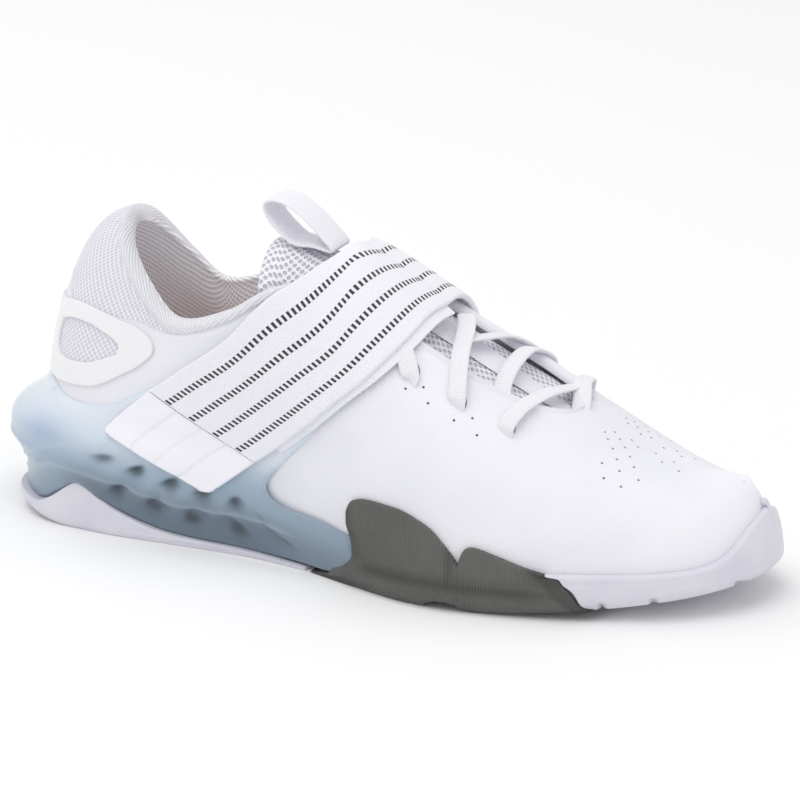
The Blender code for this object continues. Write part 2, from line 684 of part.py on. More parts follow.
def make_sole():
    """Cage, heel tread, forefoot wrap and forefoot tread, cut from their envelopes."""
    room = form_solid("room_guide", GAP)
    drop = GAP / COLLAR_HEIGHT
    wider = GAP / LENGTH

    tread = ring_solid("outsole_heel", level_rows(HEEL_TREAD_LEVELS))
    under = HEEL_TREAD_EDGE + [(0.448, -0.30), (-0.10, -0.30)]
    cut(tread, prism("heel_tread_guide", under), 'INTERSECT')
    tidy(tread, "pale_rubber")

    fine = finer(CAGE_LEVELS)
    cage = ring_solid("heel_cage", press_dents(level_rows(fine, CAGE_REACH), [row[0] for row in fine]))
    over = [(x, z + drop) for x, z in HEEL_TREAD_EDGE]
    front = [(x - wider, z + drop) for x, z in WRAP_REAR_EDGE[3:-2]]
    outline = over + front + list(reversed(CAGE_TOP_EDGE))
    cut(cage, prism("cage_guide", outline), 'INTERSECT')
    cut(cage, room)
    tidy(cage, "cage_plastic")

    wrap = ring_solid("forefoot_wrap", level_rows(WRAP_LEVELS))
    outline = WRAP_REAR_EDGE + WRAP_TOP_EDGE + WRAP_FRONT_EDGE
    cut(wrap, prism("wrap_guide", outline), 'INTERSECT')
    cut(wrap, room)
    notch = NOTCH_RADIUS / LENGTH
    tall = NOTCH_RADIUS / COLLAR_HEIGHT
    arch = [(NOTCH_AT - 1.6 * notch, -0.045), (NOTCH_AT - notch, 0.5 * tall), (NOTCH_AT, tall),
            (NOTCH_AT + notch, 0.5 * tall), (NOTCH_AT + 1.6 * notch, -0.045)]
    cut(wrap, prism("notch_guide", arch, 0.22))
    tidy(wrap, "dark_rubber")

    toe = ring_solid("outsole_forefoot", level_rows(FORE_TREAD_LEVELS))
    rear = [(x + wider, z + drop) for x, z in reversed(WRAP_FRONT_EDGE)]
    outline = [(1.05, -0.045)] + rear + FORE_TREAD_TOP_EDGE
    cut(toe, prism("fore_tread_guide", outline), 'INTERSECT')
    cut(toe, room)
    tidy(toe, "pale_rubber")


def finer(levels):
    """Levels of a table with one more between each two, for the dents."""
    table = np.asarray(levels, float)
    places = np.arange(0, len(table) - 0.75, 0.5)
    return [tuple(row) for row in through(table, places)]


def make_counter():
    """Heel counter: a shell between two offsets of the form, with a window each side."""
    shell = ring_solid("heel_counter", form_rows(COUNTER_STEP))
    cut(shell, prism("counter_guide", COUNTER_EDGE), 'INTERSECT')
    cut(shell, bpy.data.objects["room_guide"])
    cut(shell, prism("window_guide", COUNTER_WINDOW))
    tidy(shell, "upper_synthetic")


def surface(rows):
    """Tree for finding points on a ring grid from outside it."""
    rows = np.asarray(rows)
    count = rows.shape[1]
    faces = ring_faces(len(rows), count) + pair_caps(len(rows) - 1, count, False)
    return BVHTree.FromPolygons([tuple(point) for point in rows.reshape(-1, 3)], faces)


def drape(tree, x, angle, lift):
    """Point over a surface at a length and an angle from the top, outer side negative."""
    heart = Vector((x, HEART[0] * BALL_WIDTH, HEART[1] * COLLAR_HEIGHT))
    turn = math.radians(angle)
    way = Vector((0.0, -math.sin(turn), math.cos(turn)))
    place, normal, _, _ = tree.ray_cast(heart + way * LENGTH, -way)
    if place is None:
        place, normal, _, _ = tree.find_nearest(heart + way * BALL_WIDTH)
    if normal.dot(way) < 0:
        normal = -normal
    return np.array(place) + lift * np.array(normal)


def slab(name, upside, underside, finish):
    """Closed plate between an upper and a lower grid of points."""
    upside, underside = np.asarray(upside), np.asarray(underside)
    rows, columns = upside.shape[:2]
    size = rows * columns
    faces = []
    for row in range(rows - 1):
        for column in range(columns - 1):
            first = row * columns + column
            ring = [first, first + 1, first + columns + 1, first + columns]
            faces.append(ring)
            faces.append([size + corner for corner in reversed(ring)])
    edge = list(range(columns))
    edge += [row * columns + columns - 1 for row in range(1, rows)]
    edge += [(rows - 1) * columns + column for column in range(columns - 2, -1, -1)]
    edge += [row * columns for row in range(rows - 2, 0, -1)]
    for here, after in zip(edge, edge[1:] + edge[:1]):
        faces.append([here, after, size + after, size + here])
    points = np.concatenate([upside.reshape(-1, 3), underside.reshape(-1, 3)])
    return new_object(name, points, faces, finish)


def make_band(name, tree, route, steps, across, lift, thick, finish):
    """Flat band over a surface, between the two edges of its route."""
    rows = through(np.asarray(route, float), np.linspace(0, len(route) - 1, steps))
    grids = []
    for height in (lift + thick, lift):
        grid = []
        for rear_turn, rear, front_turn, front in rows:
            grid.append([drape(tree, (rear + (front - rear) * part) * LENGTH,
                               rear_turn + (front_turn - rear_turn) * part, height)
                         for part in np.linspace(0, 1, across)])
        grids.append(grid)
    return slab(name, grids[0], grids[1], finish)


def make_tongue(tree):
    """Padded tongue: under the throat it follows the form, above it stands free."""
    wall = THROAT_WALL + TONGUE_PLAY
    angles = np.linspace(-1, 1, 9)
    upside, underside = [], []
    for x, height, half in TONGUE_TOP:
        drop = angles**2 * TONGUE_FALL * COLLAR_HEIGHT
        y = (half * angles + TONGUE_SHIFT) * BALL_WIDTH
        row = np.stack([x * LENGTH + TONGUE_LEAN * drop, y, height * INSTEP_HEIGHT - drop], -1)
        thick = TONGUE_THICK * (TONGUE_PLUMP - TONGUE_THIN * np.abs(angles))
        upside.append(row)
        underside.append(row + np.stack([TONGUE_TILT * thick, 0 * y, -thick], -1))
    for x, half in TONGUE_ARC:
        for rows, depth in ((upside, wall), (underside, wall + TONGUE_THICK)):
            rows.append(np.array([drape(tree, x * LENGTH, -half * part, -depth)
                                  for part in angles]))
    places = np.linspace(0, len(upside) - 1, 18)
    return slab("tongue", through(upside, places), through(underside, places), "mesh_textile")


def make_insole():
    """Foot bed that lies in the upper on the sole."""
    inset = WALL + INSOLE_PLAY
    rows = []
    for height in (0.0, INSOLE_THICK):
        share = np.full_like(RING, height / COLLAR_HEIGHT * INSOLE_SLOPE)
        point = rib_point(RING, share) - inset * rib_normal(RING, share)
        point[:, 2] = bed(point[:, 0]) + GAP + height
        rows.append(point)
    insole = ring_solid("insole", rows)
    dress(insole, "insole_foam")
    return insole


def make_laces(tree):
    """Flat lace: its runs over the throat, joined where they cross or share an eyelet."""
    laces = None
    for number, (start, turn, end, last_turn, layer) in enumerate(LACE_RUNS):
        low = LACE_LIFT + layer * 0.6 * LACE_THICK
        share = np.linspace(0, 1, 8)
        middle = np.array([drape(tree, (start + (end - start) * part) * LENGTH,
                                 turn + (last_turn - turn) * part, low) for part in share])
        above = np.array([drape(tree, (start + (end - start) * part) * LENGTH,
                                turn + (last_turn - turn) * part, low + LACE_THICK)
                          for part in share])
        along = np.gradient(middle, axis=0)
        side = np.cross(above - middle, along)
        side *= 0.5 * LACE_WIDTH / np.linalg.norm(side, axis=-1, keepdims=True)
        upside = np.stack([above - side, above + side], 1)
        underside = np.stack([middle - side, middle + side], 1)
        run = slab("laces" if laces is None else f"lace_guide_{number}", upside, underside, None)
        if laces is None:
            laces = run
        else:
            cut(laces, as_cutter(run), 'UNION')
    tidy(laces, "lace_cotton")


def make_loop():
    """Pull loop: webbing bent into a long loop, standing on the tongue's top."""
    path = through(np.asarray(LOOP_PATH), np.linspace(0, len(LOOP_PATH), 21)[:-1], closed=True)
    path = path * np.array([LENGTH, INSTEP_HEIGHT])
    along = np.roll(path, -1, axis=0) - np.roll(path, 1, axis=0)
    out = np.stack([-along[:, 1], along[:, 0]], -1)
    out *= 0.5 * WEBBING / np.linalg.norm(out, axis=-1, keepdims=True)
    corners = []
    for shift, side in ((1, -1), (1, 1), (-1, 1), (-1, -1)):
        line = path + shift * out
        y = np.full(len(path), side * LOOP_WIDTH / 2 + TONGUE_SHIFT * BALL_WIDTH)
        corners.append(np.stack([line[:, 0], y, line[:, 1]], -1))
    count = len(path)
    faces = []
    for ring in range(4):
        for step in range(count):
            after = (step + 1) % count
            here, over = ring * count, (ring + 1) % 4 * count
            faces.append([here + step, here + after, over + after, over + step])
    new_object("pull_loop", np.concatenate(corners), faces, "strap_webbing")


def build():
    """Make every piece of the shoe."""
    make_upper()
    make_sole()
    make_counter()
    make_insole()
    closed_form = surface(form_rows(0.0))
    outside = surface(level_rows(CAGE_LEVELS, FULL_REACH))
    make_tongue(closed_form)
    make_band("strap", outside, STRAP_ROUTE, 25, 5, STRAP_LIFT, STRAP_THICK, "strap_webbing")
    make_band("strap_tab", outside, TAB_ROUTE, 6, 5, STRAP_LIFT, TAB_THICK, "upper_synthetic")
    make_laces(closed_form)
    make_loop()


for old in list(bpy.data.objects):
    bpy.data.objects.remove(old, do_unlink=True)
SHOE = bpy.data.collections.new("weightlifting_shoe")
GUIDES = bpy.data.collections.new("guides")
bpy.context.scene.collection.children.link(SHOE)
bpy.context.scene.collection.children.link(GUIDES)
build()
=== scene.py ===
"""Looks of a white weightlifting shoe for the right foot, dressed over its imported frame.

Every piece is a grid laid on one form, the outside of the upper: ribs that start at the feather
line, where upper and sole meet, and rise to the collar or the ridge of instep and toe. Sizes are in
metres. The form's own axes run x from the heel, y to the outer side and z up, and the shoe's frame
has its origin on the floor under the heel seat, with the outer side towards -Y.
"""
import logging
import math
from dataclasses import dataclass, field
from enum import IntEnum
from typing import Callable, Sequence

import bmesh
import bpy
import numpy as np
from mathutils import Matrix, Vector
from mathutils.bvhtree import BVHTree
from mathutils.kdtree import KDTree

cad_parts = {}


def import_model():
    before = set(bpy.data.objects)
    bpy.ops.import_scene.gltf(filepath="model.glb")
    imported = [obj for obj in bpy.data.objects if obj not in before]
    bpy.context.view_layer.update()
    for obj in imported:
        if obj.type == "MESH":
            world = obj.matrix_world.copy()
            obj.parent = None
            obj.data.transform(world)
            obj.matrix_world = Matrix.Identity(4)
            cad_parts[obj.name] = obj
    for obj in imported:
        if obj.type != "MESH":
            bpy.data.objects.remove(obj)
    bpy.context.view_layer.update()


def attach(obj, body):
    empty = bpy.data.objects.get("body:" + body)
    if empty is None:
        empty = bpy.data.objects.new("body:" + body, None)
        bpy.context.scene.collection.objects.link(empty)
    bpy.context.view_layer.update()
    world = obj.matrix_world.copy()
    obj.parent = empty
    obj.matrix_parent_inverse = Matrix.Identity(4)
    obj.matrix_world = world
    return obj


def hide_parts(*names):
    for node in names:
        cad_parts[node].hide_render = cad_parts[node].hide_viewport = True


Array = np.ndarray
LOG = logging.getLogger("shoe")

# One row for each rib, heel to toe: foot of the outer and inner rib, x in lengths, y in ball widths
FOOT = [
    # outer x, outer y, inner x, inner y
    (0.048, 0.000, 0.048, 0.000),
    (0.060, 0.133, 0.060, -0.129),
    (0.100, 0.252, 0.100, -0.243),
    (0.167, 0.300, 0.167, -0.281),
    (0.250, 0.310, 0.250, -0.271),
    (0.350, 0.314, 0.350, -0.257),
    (0.433, 0.348, 0.450, -0.267),
    (0.517, 0.414, 0.543, -0.333),
    (0.600, 0.467, 0.633, -0.410),
    (0.683, 0.457, 0.717, -0.438),
    (0.767, 0.410, 0.793, -0.419),
    (0.850, 0.333, 0.867, -0.362),
    (0.917, 0.224, 0.923, -0.276),
    (0.957, 0.086, 0.960, -0.162),
    (0.970, -0.048, 0.970, -0.048),
]

# Tops of the ribs round the collar, height in collar heights
COLLAR = [
    # outer x, outer y, outer height, inner x, inner y, inner height
    (0.157, 0.000, 1.008, 0.157, 0.000, 1.008),
    (0.157, 0.062, 0.972, 0.169, -0.062, 0.998),
    (0.171, 0.140, 0.906, 0.182, -0.138, 0.930),
    (0.202, 0.211, 0.812, 0.204, -0.200, 0.832),
    (0.253, 0.261, 0.716, 0.242, -0.242, 0.735),
    (0.323, 0.273, 0.768, 0.307, -0.250, 0.775),
    (0.390, 0.238, 0.890, 0.377, -0.219, 0.893),
]

# Ridge over instep and toe, both sides share it, height in instep heights
RIDGE = [
    # x, y, height
    (0.453, -0.019, 1.000),
    (0.550, -0.038, 0.840),
    (0.643, -0.048, 0.700),
    (0.740, -0.067, 0.560),
    (0.820, -0.076, 0.448),
    (0.873, -0.076, 0.404),
    (0.914, -0.076, 0.398),
    (0.943, -0.070, 0.394),
]

# Shape of each rib: belly in ball widths, reach and drop in the rib's own width and height
SWELL = [
    # outer belly, outer reach, outer drop, inner belly, inner reach, inner drop
    (0.008, 0.68, 0.01, 0.008, 0.68, 0.01),
    (0.010, 0.60, 0.03, 0.010, 0.60, 0.03),
    (0.012, 0.44, 0.12, 0.012, 0.44, 0.12),
    (0.012, 0.34, 0.24, 0.012, 0.34, 0.24),
    (0.010, 0.28, 0.33, 0.008, 0.28, 0.33),
    (0.012, 0.30, 0.30, 0.004, 0.30, 0.30),
    (0.014, 0.42, 0.14, 0.004, 0.42, 0.14),
    (0.010, 0.58, 0.02, 0.004, 0.58, 0.02),
    (0.008, 0.60, 0.02, 0.006, 0.58, 0.02),
    (0.008, 0.60, 0.02, 0.008, 0.58, 0.02),
    (0.008, 0.60, 0.02, 0.008, 0.60, 0.02),
    (0.010, 0.62, 0.02, 0.010, 0.62, 0.02),
    (0.010, 0.64, 0.03, 0.010, 0.64, 0.03),
    (0.008, 0.66, 0.06, 0.008, 0.66, 0.06),
    (0.006, 0.68, 0.10, 0.006, 0.68, 0.10),
]

# Share of each rib below the throat's edge
THROAT = [1.0, 1.0, 1.0, 1.0, 1.0, 1.0, 0.97, 0.76, 0.755, 0.765]
THROAT_BEND = 8.8
THROAT_END = 10.0
LAST_ROW = 14

# Stations where the flares of a sole piece are given, in ball widths, one row for each level
FLARE_AT = (0.0, 1.2, 2.6, 5.5, 8.5, 12.0, 14.0)
CAGE_LEVELS = (
    # level, heel back, heel corner, heel side, waist, ball, toe side, toe tip
    (0.00, 0.072, 0.070, 0.034, 0.014, 0.014, 0.014, 0.014),
    (0.20, 0.092, 0.084, 0.036, 0.014, 0.014, 0.014, 0.014),
    (0.45, 0.090, 0.082, 0.050, 0.020, 0.016, 0.014, 0.014),
    (0.62, 0.104, 0.090, 0.062, 0.028, 0.016, 0.014, 0.014),
    (0.80, 0.136, 0.114, 0.070, 0.032, 0.016, 0.014, 0.014),
    (1.00, 0.156, 0.134, 0.074, 0.030, 0.016, 0.014, 0.014),
    (1.08, 0.128, 0.112, 0.062, 0.024, 0.015, 0.014, 0.014),
    (1.11, 0.078, 0.070, 0.048, 0.021, 0.0145, 0.0143, 0.0143),
    (1.15, 0.026, 0.025, 0.030, 0.018, 0.0143, 0.0143, 0.0143),
    (1.21, 0.0150, 0.0150, 0.0165, 0.0150, 0.0143, 0.0143, 0.0143),
    (1.28, 0.0143, 0.0143, 0.0143, 0.0143, 0.0143, 0.0143, 0.0143),
)
HEEL_TREAD_LEVELS = (
    (0.00, 0.084, 0.096, 0.048, 0.022, 0.022, 0.020, 0.020),
    (0.09, 0.100, 0.116, 0.058, 0.028, 0.026, 0.020, 0.020),
    (0.22, 0.098, 0.112, 0.058, 0.028, 0.026, 0.020, 0.020),
    (0.48, 0.082, 0.088, 0.054, 0.024, 0.024, 0.020, 0.020),
    (0.68, 0.074, 0.082, 0.058, 0.024, 0.024, 0.020, 0.020),
)
WRAP_LEVELS = (
    (0.00, 0.020, 0.020, 0.020, 0.015, 0.036, 0.030, 0.030),
    (0.25, 0.020, 0.020, 0.020, 0.018, 0.048, 0.038, 0.038),
    (1.00, 0.020, 0.020, 0.020, 0.018, 0.040, 0.034, 0.034),
    (1.10, 0.018, 0.018, 0.018, 0.017, 0.026, 0.022, 0.022),
    (1.22, 0.015, 0.015, 0.015, 0.017, 0.018, 0.017, 0.017),
    (1.40, 0.014, 0.014, 0.014, 0.014, 0.014, 0.014, 0.014),
)
FORE_TREAD_LEVELS = (
    (0.00, 0.020, 0.020, 0.020, 0.020, 0.022, 0.028, 0.026),
    (0.30, 0.020, 0.020, 0.020, 0.020, 0.036, 0.042, 0.044),
    (0.75, 0.020, 0.020, 0.020, 0.020, 0.038, 0.042, 0.048),
    (1.00, 0.020, 0.020, 0.020, 0.020, 0.034, 0.038, 0.048),
    (1.14, 0.018, 0.018, 0.018, 0.018, 0.026, 0.030, 0.043),
    (1.30, 0.016, 0.016, 0.016, 0.016, 0.020, 0.025, 0.036),
    (1.46, 0.014, 0.014, 0.014, 0.014, 0.016, 0.018, 0.026),
    (1.60, 0.012, 0.012, 0.012, 0.012, 0.012, 0.014, 0.018),
)


class Side(IntEnum):
    """Side of the shoe, as the sign of y on the form."""

    OUTER = 1
    INNER = -1


def smoothstep(value: Array) -> Array:
    """Rise from 0 to 1 without a corner."""
    value = np.clip(value, 0.0, 1.0)
    return value * value * (3.0 - 2.0 * value)


def hermite(part: Array, start: Array, end: Array, rise: Array, run: Array) -> Array:
    """Smooth step between two values.

    Args:
        part: Share of the step, from 0 to 1.
        start: Value at the start.
        end: Value at the end.
        rise: Slope at the start, over the whole step.
        run: Slope at the end, over the whole step.

    Returns:
        The value at each share.
    """
    return (start * (2 * part**3 - 3 * part**2 + 1) + rise * (part**3 - 2 * part**2 + part)
            + end * (3 * part**2 - 2 * part**3) + run * (part**3 - part**2))


def spline(knots: Sequence[float], values: Sequence, at: Array) -> Array:
    """Smooth curve through values given at rising knots.

    Args:
        knots: Where each value stands, rising.
        values: One number or one row of numbers for each knot.
        at: Places to read.

    Returns:
        The value, or row of values, at each place.
    """
    knots = np.asarray(knots, float)
    values = np.asarray(values, float)
    at = np.asarray(at, float)
    cell = np.clip(np.searchsorted(knots, at, side="right") - 1, 0, len(knots) - 2)
    tail = (1,) * (values.ndim - 1)
    slopes = np.empty_like(values)
    slopes[1:-1] = (values[2:] - values[:-2]) / (knots[2:] - knots[:-2]).reshape((-1,) + tail)
    slopes[0] = (values[1] - values[0]) / (knots[1] - knots[0])
    slopes[-1] = (values[-1] - values[-2]) / (knots[-1] - knots[-2])
    span = (knots[cell + 1] - knots[cell]).reshape(at.shape + tail)
    part = (at - knots[cell]).reshape(at.shape + tail) / span
    return hermite(part, values[cell], values[cell + 1], slopes[cell] * span,
                   slopes[cell + 1] * span)


def unit(vectors: Array) -> Array:
    """Vectors of length 1."""
    return vectors / np.maximum(np.linalg.norm(vectors, axis=-1, keepdims=True), 1e-12)


def station_of(ring: Array) -> Array:
    """Station of a place on the ring, 0 at the heel and 14 at the toe on either side."""
    return np.where(ring > LAST_ROW, 2 * LAST_ROW - ring, ring)


def ring_at(station: Array, side: Side) -> Array:
    """Place on the ring of a station on one side."""
    return station if side == Side.OUTER else 2 * LAST_ROW - station


@dataclass(frozen=True)
class Form:
    """The outside of the upper, on which every piece is laid."""

    length: float = 0.300
    ball_width: float = 0.105
    collar_height: float = 0.113
    instep_height: float = 0.109
    heel_stack: float = 0.030
    fore_stack: float = 0.011
    toe_spring: float = 0.0115
    heel_kick: float = 0.0046
    heel_seat: float = 0.040

    def world(self, points: Array) -> Array:
        """Points in the shoe's frame, from the form's axes."""
        return points * np.array([1.0, -1.0, 1.0]) - np.array([self.heel_seat, 0.0, 0.0])

    def bed(self, x: Array) -> Array:
        """Height of the foot bed, where upper and sole meet."""
        share = x / self.length
        fall = smoothstep((share - 0.20) / 0.42)
        tip = np.clip((share - 0.64) / 0.33, 0.0, 1.2)
        low = self.heel_stack + (self.fore_stack - self.heel_stack) * fall
        return low + 0.60 * self.toe_spring * tip**1.7

    def ground(self, x: Array) -> Array:
        """Height of the tread's underside: flat, with a kick at the heel and the toe spring."""
        share = x / self.length
        heel = np.clip((0.118 - share) / 0.100, 0.0, 1.3)
        tip = np.clip((share - 0.64) / 0.34, 0.0, 1.2)
        return self.heel_kick * heel**1.5 + self.toe_spring * tip**1.6

    def _ring(self, table: Sequence, width: int, ring: Array) -> Array:
        """Values of a two-sided table at places on the ring."""
        rows = np.asarray(table, float)
        rows = np.concatenate([rows[:, :width], rows[-2:0:-1, width:2 * width]])
        count = len(rows)
        knots = np.arange(-2, count + 3)
        return spline(knots, rows[knots % count], np.mod(ring, count))

    def top(self, ring: Array) -> Array:
        """Tops of the ribs: the rim of the collar, then the ridge."""
        station = station_of(ring)
        side = np.where(ring > LAST_ROW, -1.0, 1.0)
        collar = np.asarray(COLLAR, float)
        size = np.array([self.length, self.ball_width, self.collar_height])
        ridge = np.asarray(RIDGE) * np.array([self.length, self.ball_width, self.instep_height])
        front = ridge[:1]
        rim = np.concatenate([front, collar[:0:-1, 3:] * size, collar[:, :3] * size, front])
        reach = len(collar)
        on_rim = spline(np.arange(len(rim)), rim, reach + side * np.minimum(station, reach))
        along = np.clip(station - reach, 0, len(ridge) - 1)
        on_ridge = spline(np.arange(len(ridge)), ridge, along)
        return np.where((station < reach)[..., None], on_rim, on_ridge)

    def point(self, ring: Array, share: Array) -> Array:
        """Point of the form on a rib.

        Args:
            ring: Place on the ring, which picks the rib.
            share: Share of the rib's length from the feather line.

        Returns:
            Points on the form's own axes.
        """
        foot_xy = self._ring(FOOT, 2, ring) * np.array([self.length, self.ball_width])
        swell = self._ring(SWELL, 3, ring)
        top = self.top(ring)
        foot = np.concatenate([foot_xy, self.bed(foot_xy[..., :1])], axis=-1)
        span = top - foot
        flat = span * np.array([1.0, 1.0, 0.0])
        rise = span * np.array([0.0, 0.0, 1.0])
        out = -unit(flat)
        low = foot + 0.45 * rise + out * swell[..., :1] * self.ball_width
        high = top - flat * swell[..., 1:2] - rise * swell[..., 2:3]
        share = np.asarray(share, float)[..., None]
        left = 1.0 - share
        return (foot * left**3 + 3 * low * left**2 * share
                + 3 * high * left * share**2 + top * share**3)

    def normal(self, ring: Array, share: Array) -> Array:
        """Outward normal; the two sides agree where they meet.

        Args:
            ring: Place on the ring.
            share: Share of the rib's length.

        Returns:
            Unit normals.
        """
        station = station_of(ring)
        near = np.where(station > len(COLLAR), np.minimum(share, 0.97), share)
        nudge = 0.02

        def one(at: Array) -> Array:
            """Normal by differences along and across the ribs."""
            along = self.point(at + nudge, near) - self.point(at - nudge, near)
            high, low = np.minimum(near + nudge, 1.0), np.maximum(near - nudge, 0.0)
            across = self.point(at, high) - self.point(at, low)
            return unit(np.cross(across, along))

        normal = one(ring)
        shared = (share > 0.999) & (station > len(COLLAR)) | (ring == 0) | (ring == LAST_ROW)
        if shared.any():
            normal = np.where(shared[..., None], normal + one(2 * LAST_ROW - ring), normal)
        return unit(normal)

    def throat(self, station: Array) -> Array:
        """Share of the rib at the throat's edge, with a round front end.

        Args:
            station: Stations on either side.

        Returns:
            The share at each station, 1 where the rib has no throat.
        """
        bend = np.clip((station - THROAT_BEND) / (THROAT_END - THROAT_BEND), 0.0, 1.0)
        side = spline(np.arange(len(THROAT)), THROAT, np.minimum(station, THROAT_BEND))
        return np.where(station < THROAT_BEND, np.minimum(side, 1.0),
                        1.0 - (1.0 - THROAT[-1]) * np.sqrt(1.0 - bend**2))


FORM = Form()


@dataclass(frozen=True)
class Envelope:
    """Outer face of a sole piece, standing off the form by its table of levels.

    A level is a share of the stack's height below the feather line, and 1 plus the share of the
    rib above it.
    """

    rows: tuple

    def flare(self, station: Array, level: Array) -> Array:
        """How far the face stands off the form.

        Args:
            station: Stations on either side.
            level: Levels, of the same shape.

        Returns:
            Distances in metres.
        """
        table = np.asarray(self.rows)
        levels, flares = table[:, 0], table[:, 1:]
        place = np.interp(station, FLARE_AT, np.arange(len(FLARE_AT)))
        by_level = spline(np.arange(len(FLARE_AT)), flares.T, place)
        slopes = np.gradient(by_level, levels, axis=-1)
        level = np.clip(level, levels[0], levels[-1])
        cell = np.clip(np.searchsorted(levels, level, side="right") - 1, 0, len(levels) - 2)

        def pick(values: Array, at: Array) -> Array:
            """Value of each place's own column."""
            return np.take_along_axis(values, at[..., None], -1)[..., 0]

        span = levels[cell + 1] - levels[cell]
        part = (level - levels[cell]) / span
        value = hermite(part, pick(by_level, cell), pick(by_level, cell + 1),
                        pick(slopes, cell) * span, pick(slopes, cell + 1) * span)
        return value * FORM.ball_width

    def point(self, ring: Array, level: Array, drop: Array | float = 0.0,
              offset: Array | float | None = None) -> Array:
        """Point of the face, or below it by a drop, or at an offset from the form itself.

        Args:
            ring: Place on the ring.
            level: Level, of the same shape.
            drop: How far below the face, in metres.
            offset: Where given, the distance from the form instead.

        Returns:
            Points on the form's own axes.
        """
        up = np.maximum(level - 1.0, 0.0)
        base = FORM.point(ring, up)
        normal = FORM.normal(ring, up)
        flat = unit(normal * np.array([1.0, 1.0, 0.0]))
        way = unit(flat + (normal - flat) * smoothstep((level - 1.0) / 0.12)[..., None])
        out = self.flare(station_of(ring), level) - drop if offset is None else offset
        point = base + way * np.broadcast_to(out, level.shape)[..., None]
        low = FORM.ground(point[..., 0])
        height = low + level * (FORM.bed(base[..., 0]) - low)
        point[..., 2] = np.where(level < 1.0, height, point[..., 2])
        return point

    def find(self, side: Side, x: Array, height: Array) -> tuple[Array, Array]:
        """Station and level that show at a length and a height, seen from the side.

        Args:
            side: The outer or the inner side.
            x: Lengths; HEEL and TOE stand for the middle of heel and toe.
            height: Heights in metres.

        Returns:
            Stations and levels.
        """
        stations, levels = np.meshgrid(np.linspace(0, LAST_ROW, 85), np.linspace(0, 1.96, 60),
                                       indexing="ij")
        seen = self.point(ring_at(stations, side), levels)[..., [0, 2]].reshape(-1, 2)
        target = np.stack([x * FORM.length, height], -1)
        nearest = np.argmin(((seen[None] - target[:, None])**2).sum(-1), axis=1)
        station, level = stations.ravel()[nearest], levels.ravel()[nearest]
        nudge = 0.01
        for _ in range(8):
            here = self.point(ring_at(station, side), level)[..., [0, 2]]
            by_station = self.point(ring_at(station - nudge, side), level)[..., [0, 2]]
            by_level = self.point(ring_at(station, side), level + nudge)[..., [0, 2]]
            a, b = ((here - by_station) / nudge).T
            c, d = ((by_level - here) / nudge).T
            miss = (target - here).T
            area = a * d - b * c
            area = np.where(np.abs(area) < 1e-9, 1e-9, area)
            station = station + np.clip((miss[0] * d - miss[1] * c) / area, -0.3, 0.3)
            level = np.clip(level + np.clip((a * miss[1] - b * miss[0]) / area, -0.1, 0.1), 0, 1.98)
            station = np.clip(station, nudge, LAST_ROW)
        for middle, place in ((HEEL, 0.0), (TOE, float(LAST_ROW))):
            ends = np.flatnonzero(x == middle)
            tall = np.linspace(0, 1.98, 200)
            rise = self.point(ring_at(np.full(200, place), side), tall)[:, 2]
            station[ends] = place
            level[ends] = np.interp(height[ends], rise, tall)
        return station, level


HEEL = 0.0
TOE = 1.0
STRAP_BED = Envelope(CAGE_LEVELS)
BARE = Envelope(tuple((level,) + (0.0,) * len(FLARE_AT) for level in (0.0, 1.0, 2.0)))
HEART = (-0.03 * FORM.ball_width, 0.30 * FORM.collar_height)


def chord(points: Array) -> Array:
    """Running length along a row of points, from 0 to 1."""
    steps = np.linalg.norm(np.diff(points, axis=0), axis=-1)
    run = np.concatenate([[0.0], np.cumsum(steps)])
    return run / run[-1]


@dataclass
class Sheet:
    """A grid of points, with marks for its materials, before it becomes a mesh."""

    points: Array
    marks: dict[str, Array] = field(default_factory=dict)
    finish: Array | None = None
    flat_map: Array | None = None

    def metric_map(self) -> Array:
        """Map of the grid in metres: along its middle row and up its columns."""
        points = self.points
        along = np.linalg.norm(np.diff(points, axis=1), axis=-1)
        middle = along[len(along) // 3]
        u = np.concatenate([[0.0], np.cumsum(middle)])
        up = np.linalg.norm(np.diff(points, axis=0), axis=-1)
        v = np.concatenate([np.zeros((1, points.shape[1])), np.cumsum(up, axis=0)])
        return np.stack([np.broadcast_to(u, v.shape), v], -1)

    def mesh(self, names: Sequence[str]) -> bpy.types.Mesh:
        """The grid as a mesh in the shoe's frame, with its map and marks."""
        rows, columns = self.points.shape[:2]
        shape = bmesh.new()
        bmesh.ops.create_grid(shape, x_segments=columns - 1, y_segments=rows - 1, size=1.0)
        mesh = bpy.data.meshes.new("sheet")
        shape.to_mesh(mesh)
        shape.free()
        flat = np.empty(len(mesh.vertices) * 3)
        mesh.vertices.foreach_get("co", flat)
        flat = flat.reshape(-1, 3)
        column = np.rint((flat[:, 0] + 1) / 2 * (columns - 1)).astype(int)
        row = np.rint((flat[:, 1] + 1) / 2 * (rows - 1)).astype(int)
        mesh.vertices.foreach_set("co", FORM.world(self.points[row, column]).ravel())
        corner = np.empty(len(mesh.loops), int)
        mesh.loops.foreach_get("vertex_index", corner)
        chart = self.metric_map() if self.flat_map is None else self.flat_map
        layer = mesh.uv_layers.new(name="UVMap")
        layer.uv.foreach_set("vector", chart[row, column][corner].ravel())
        for name in names:
            mark = self.marks.get(name, np.zeros((rows, columns)))
            made = mesh.attributes.new(name, 'FLOAT', 'POINT')
            made.data.foreach_set("value", mark[row, column].astype(np.float32))
        if self.finish is not None:
            quad = corner.reshape(-1, 4)
            index = self.finish[row[quad].min(axis=1), column[quad].min(axis=1)]
            mesh.polygons.foreach_set("material_index", index.astype(np.int32))
        return mesh


LEFT_OUT = 30


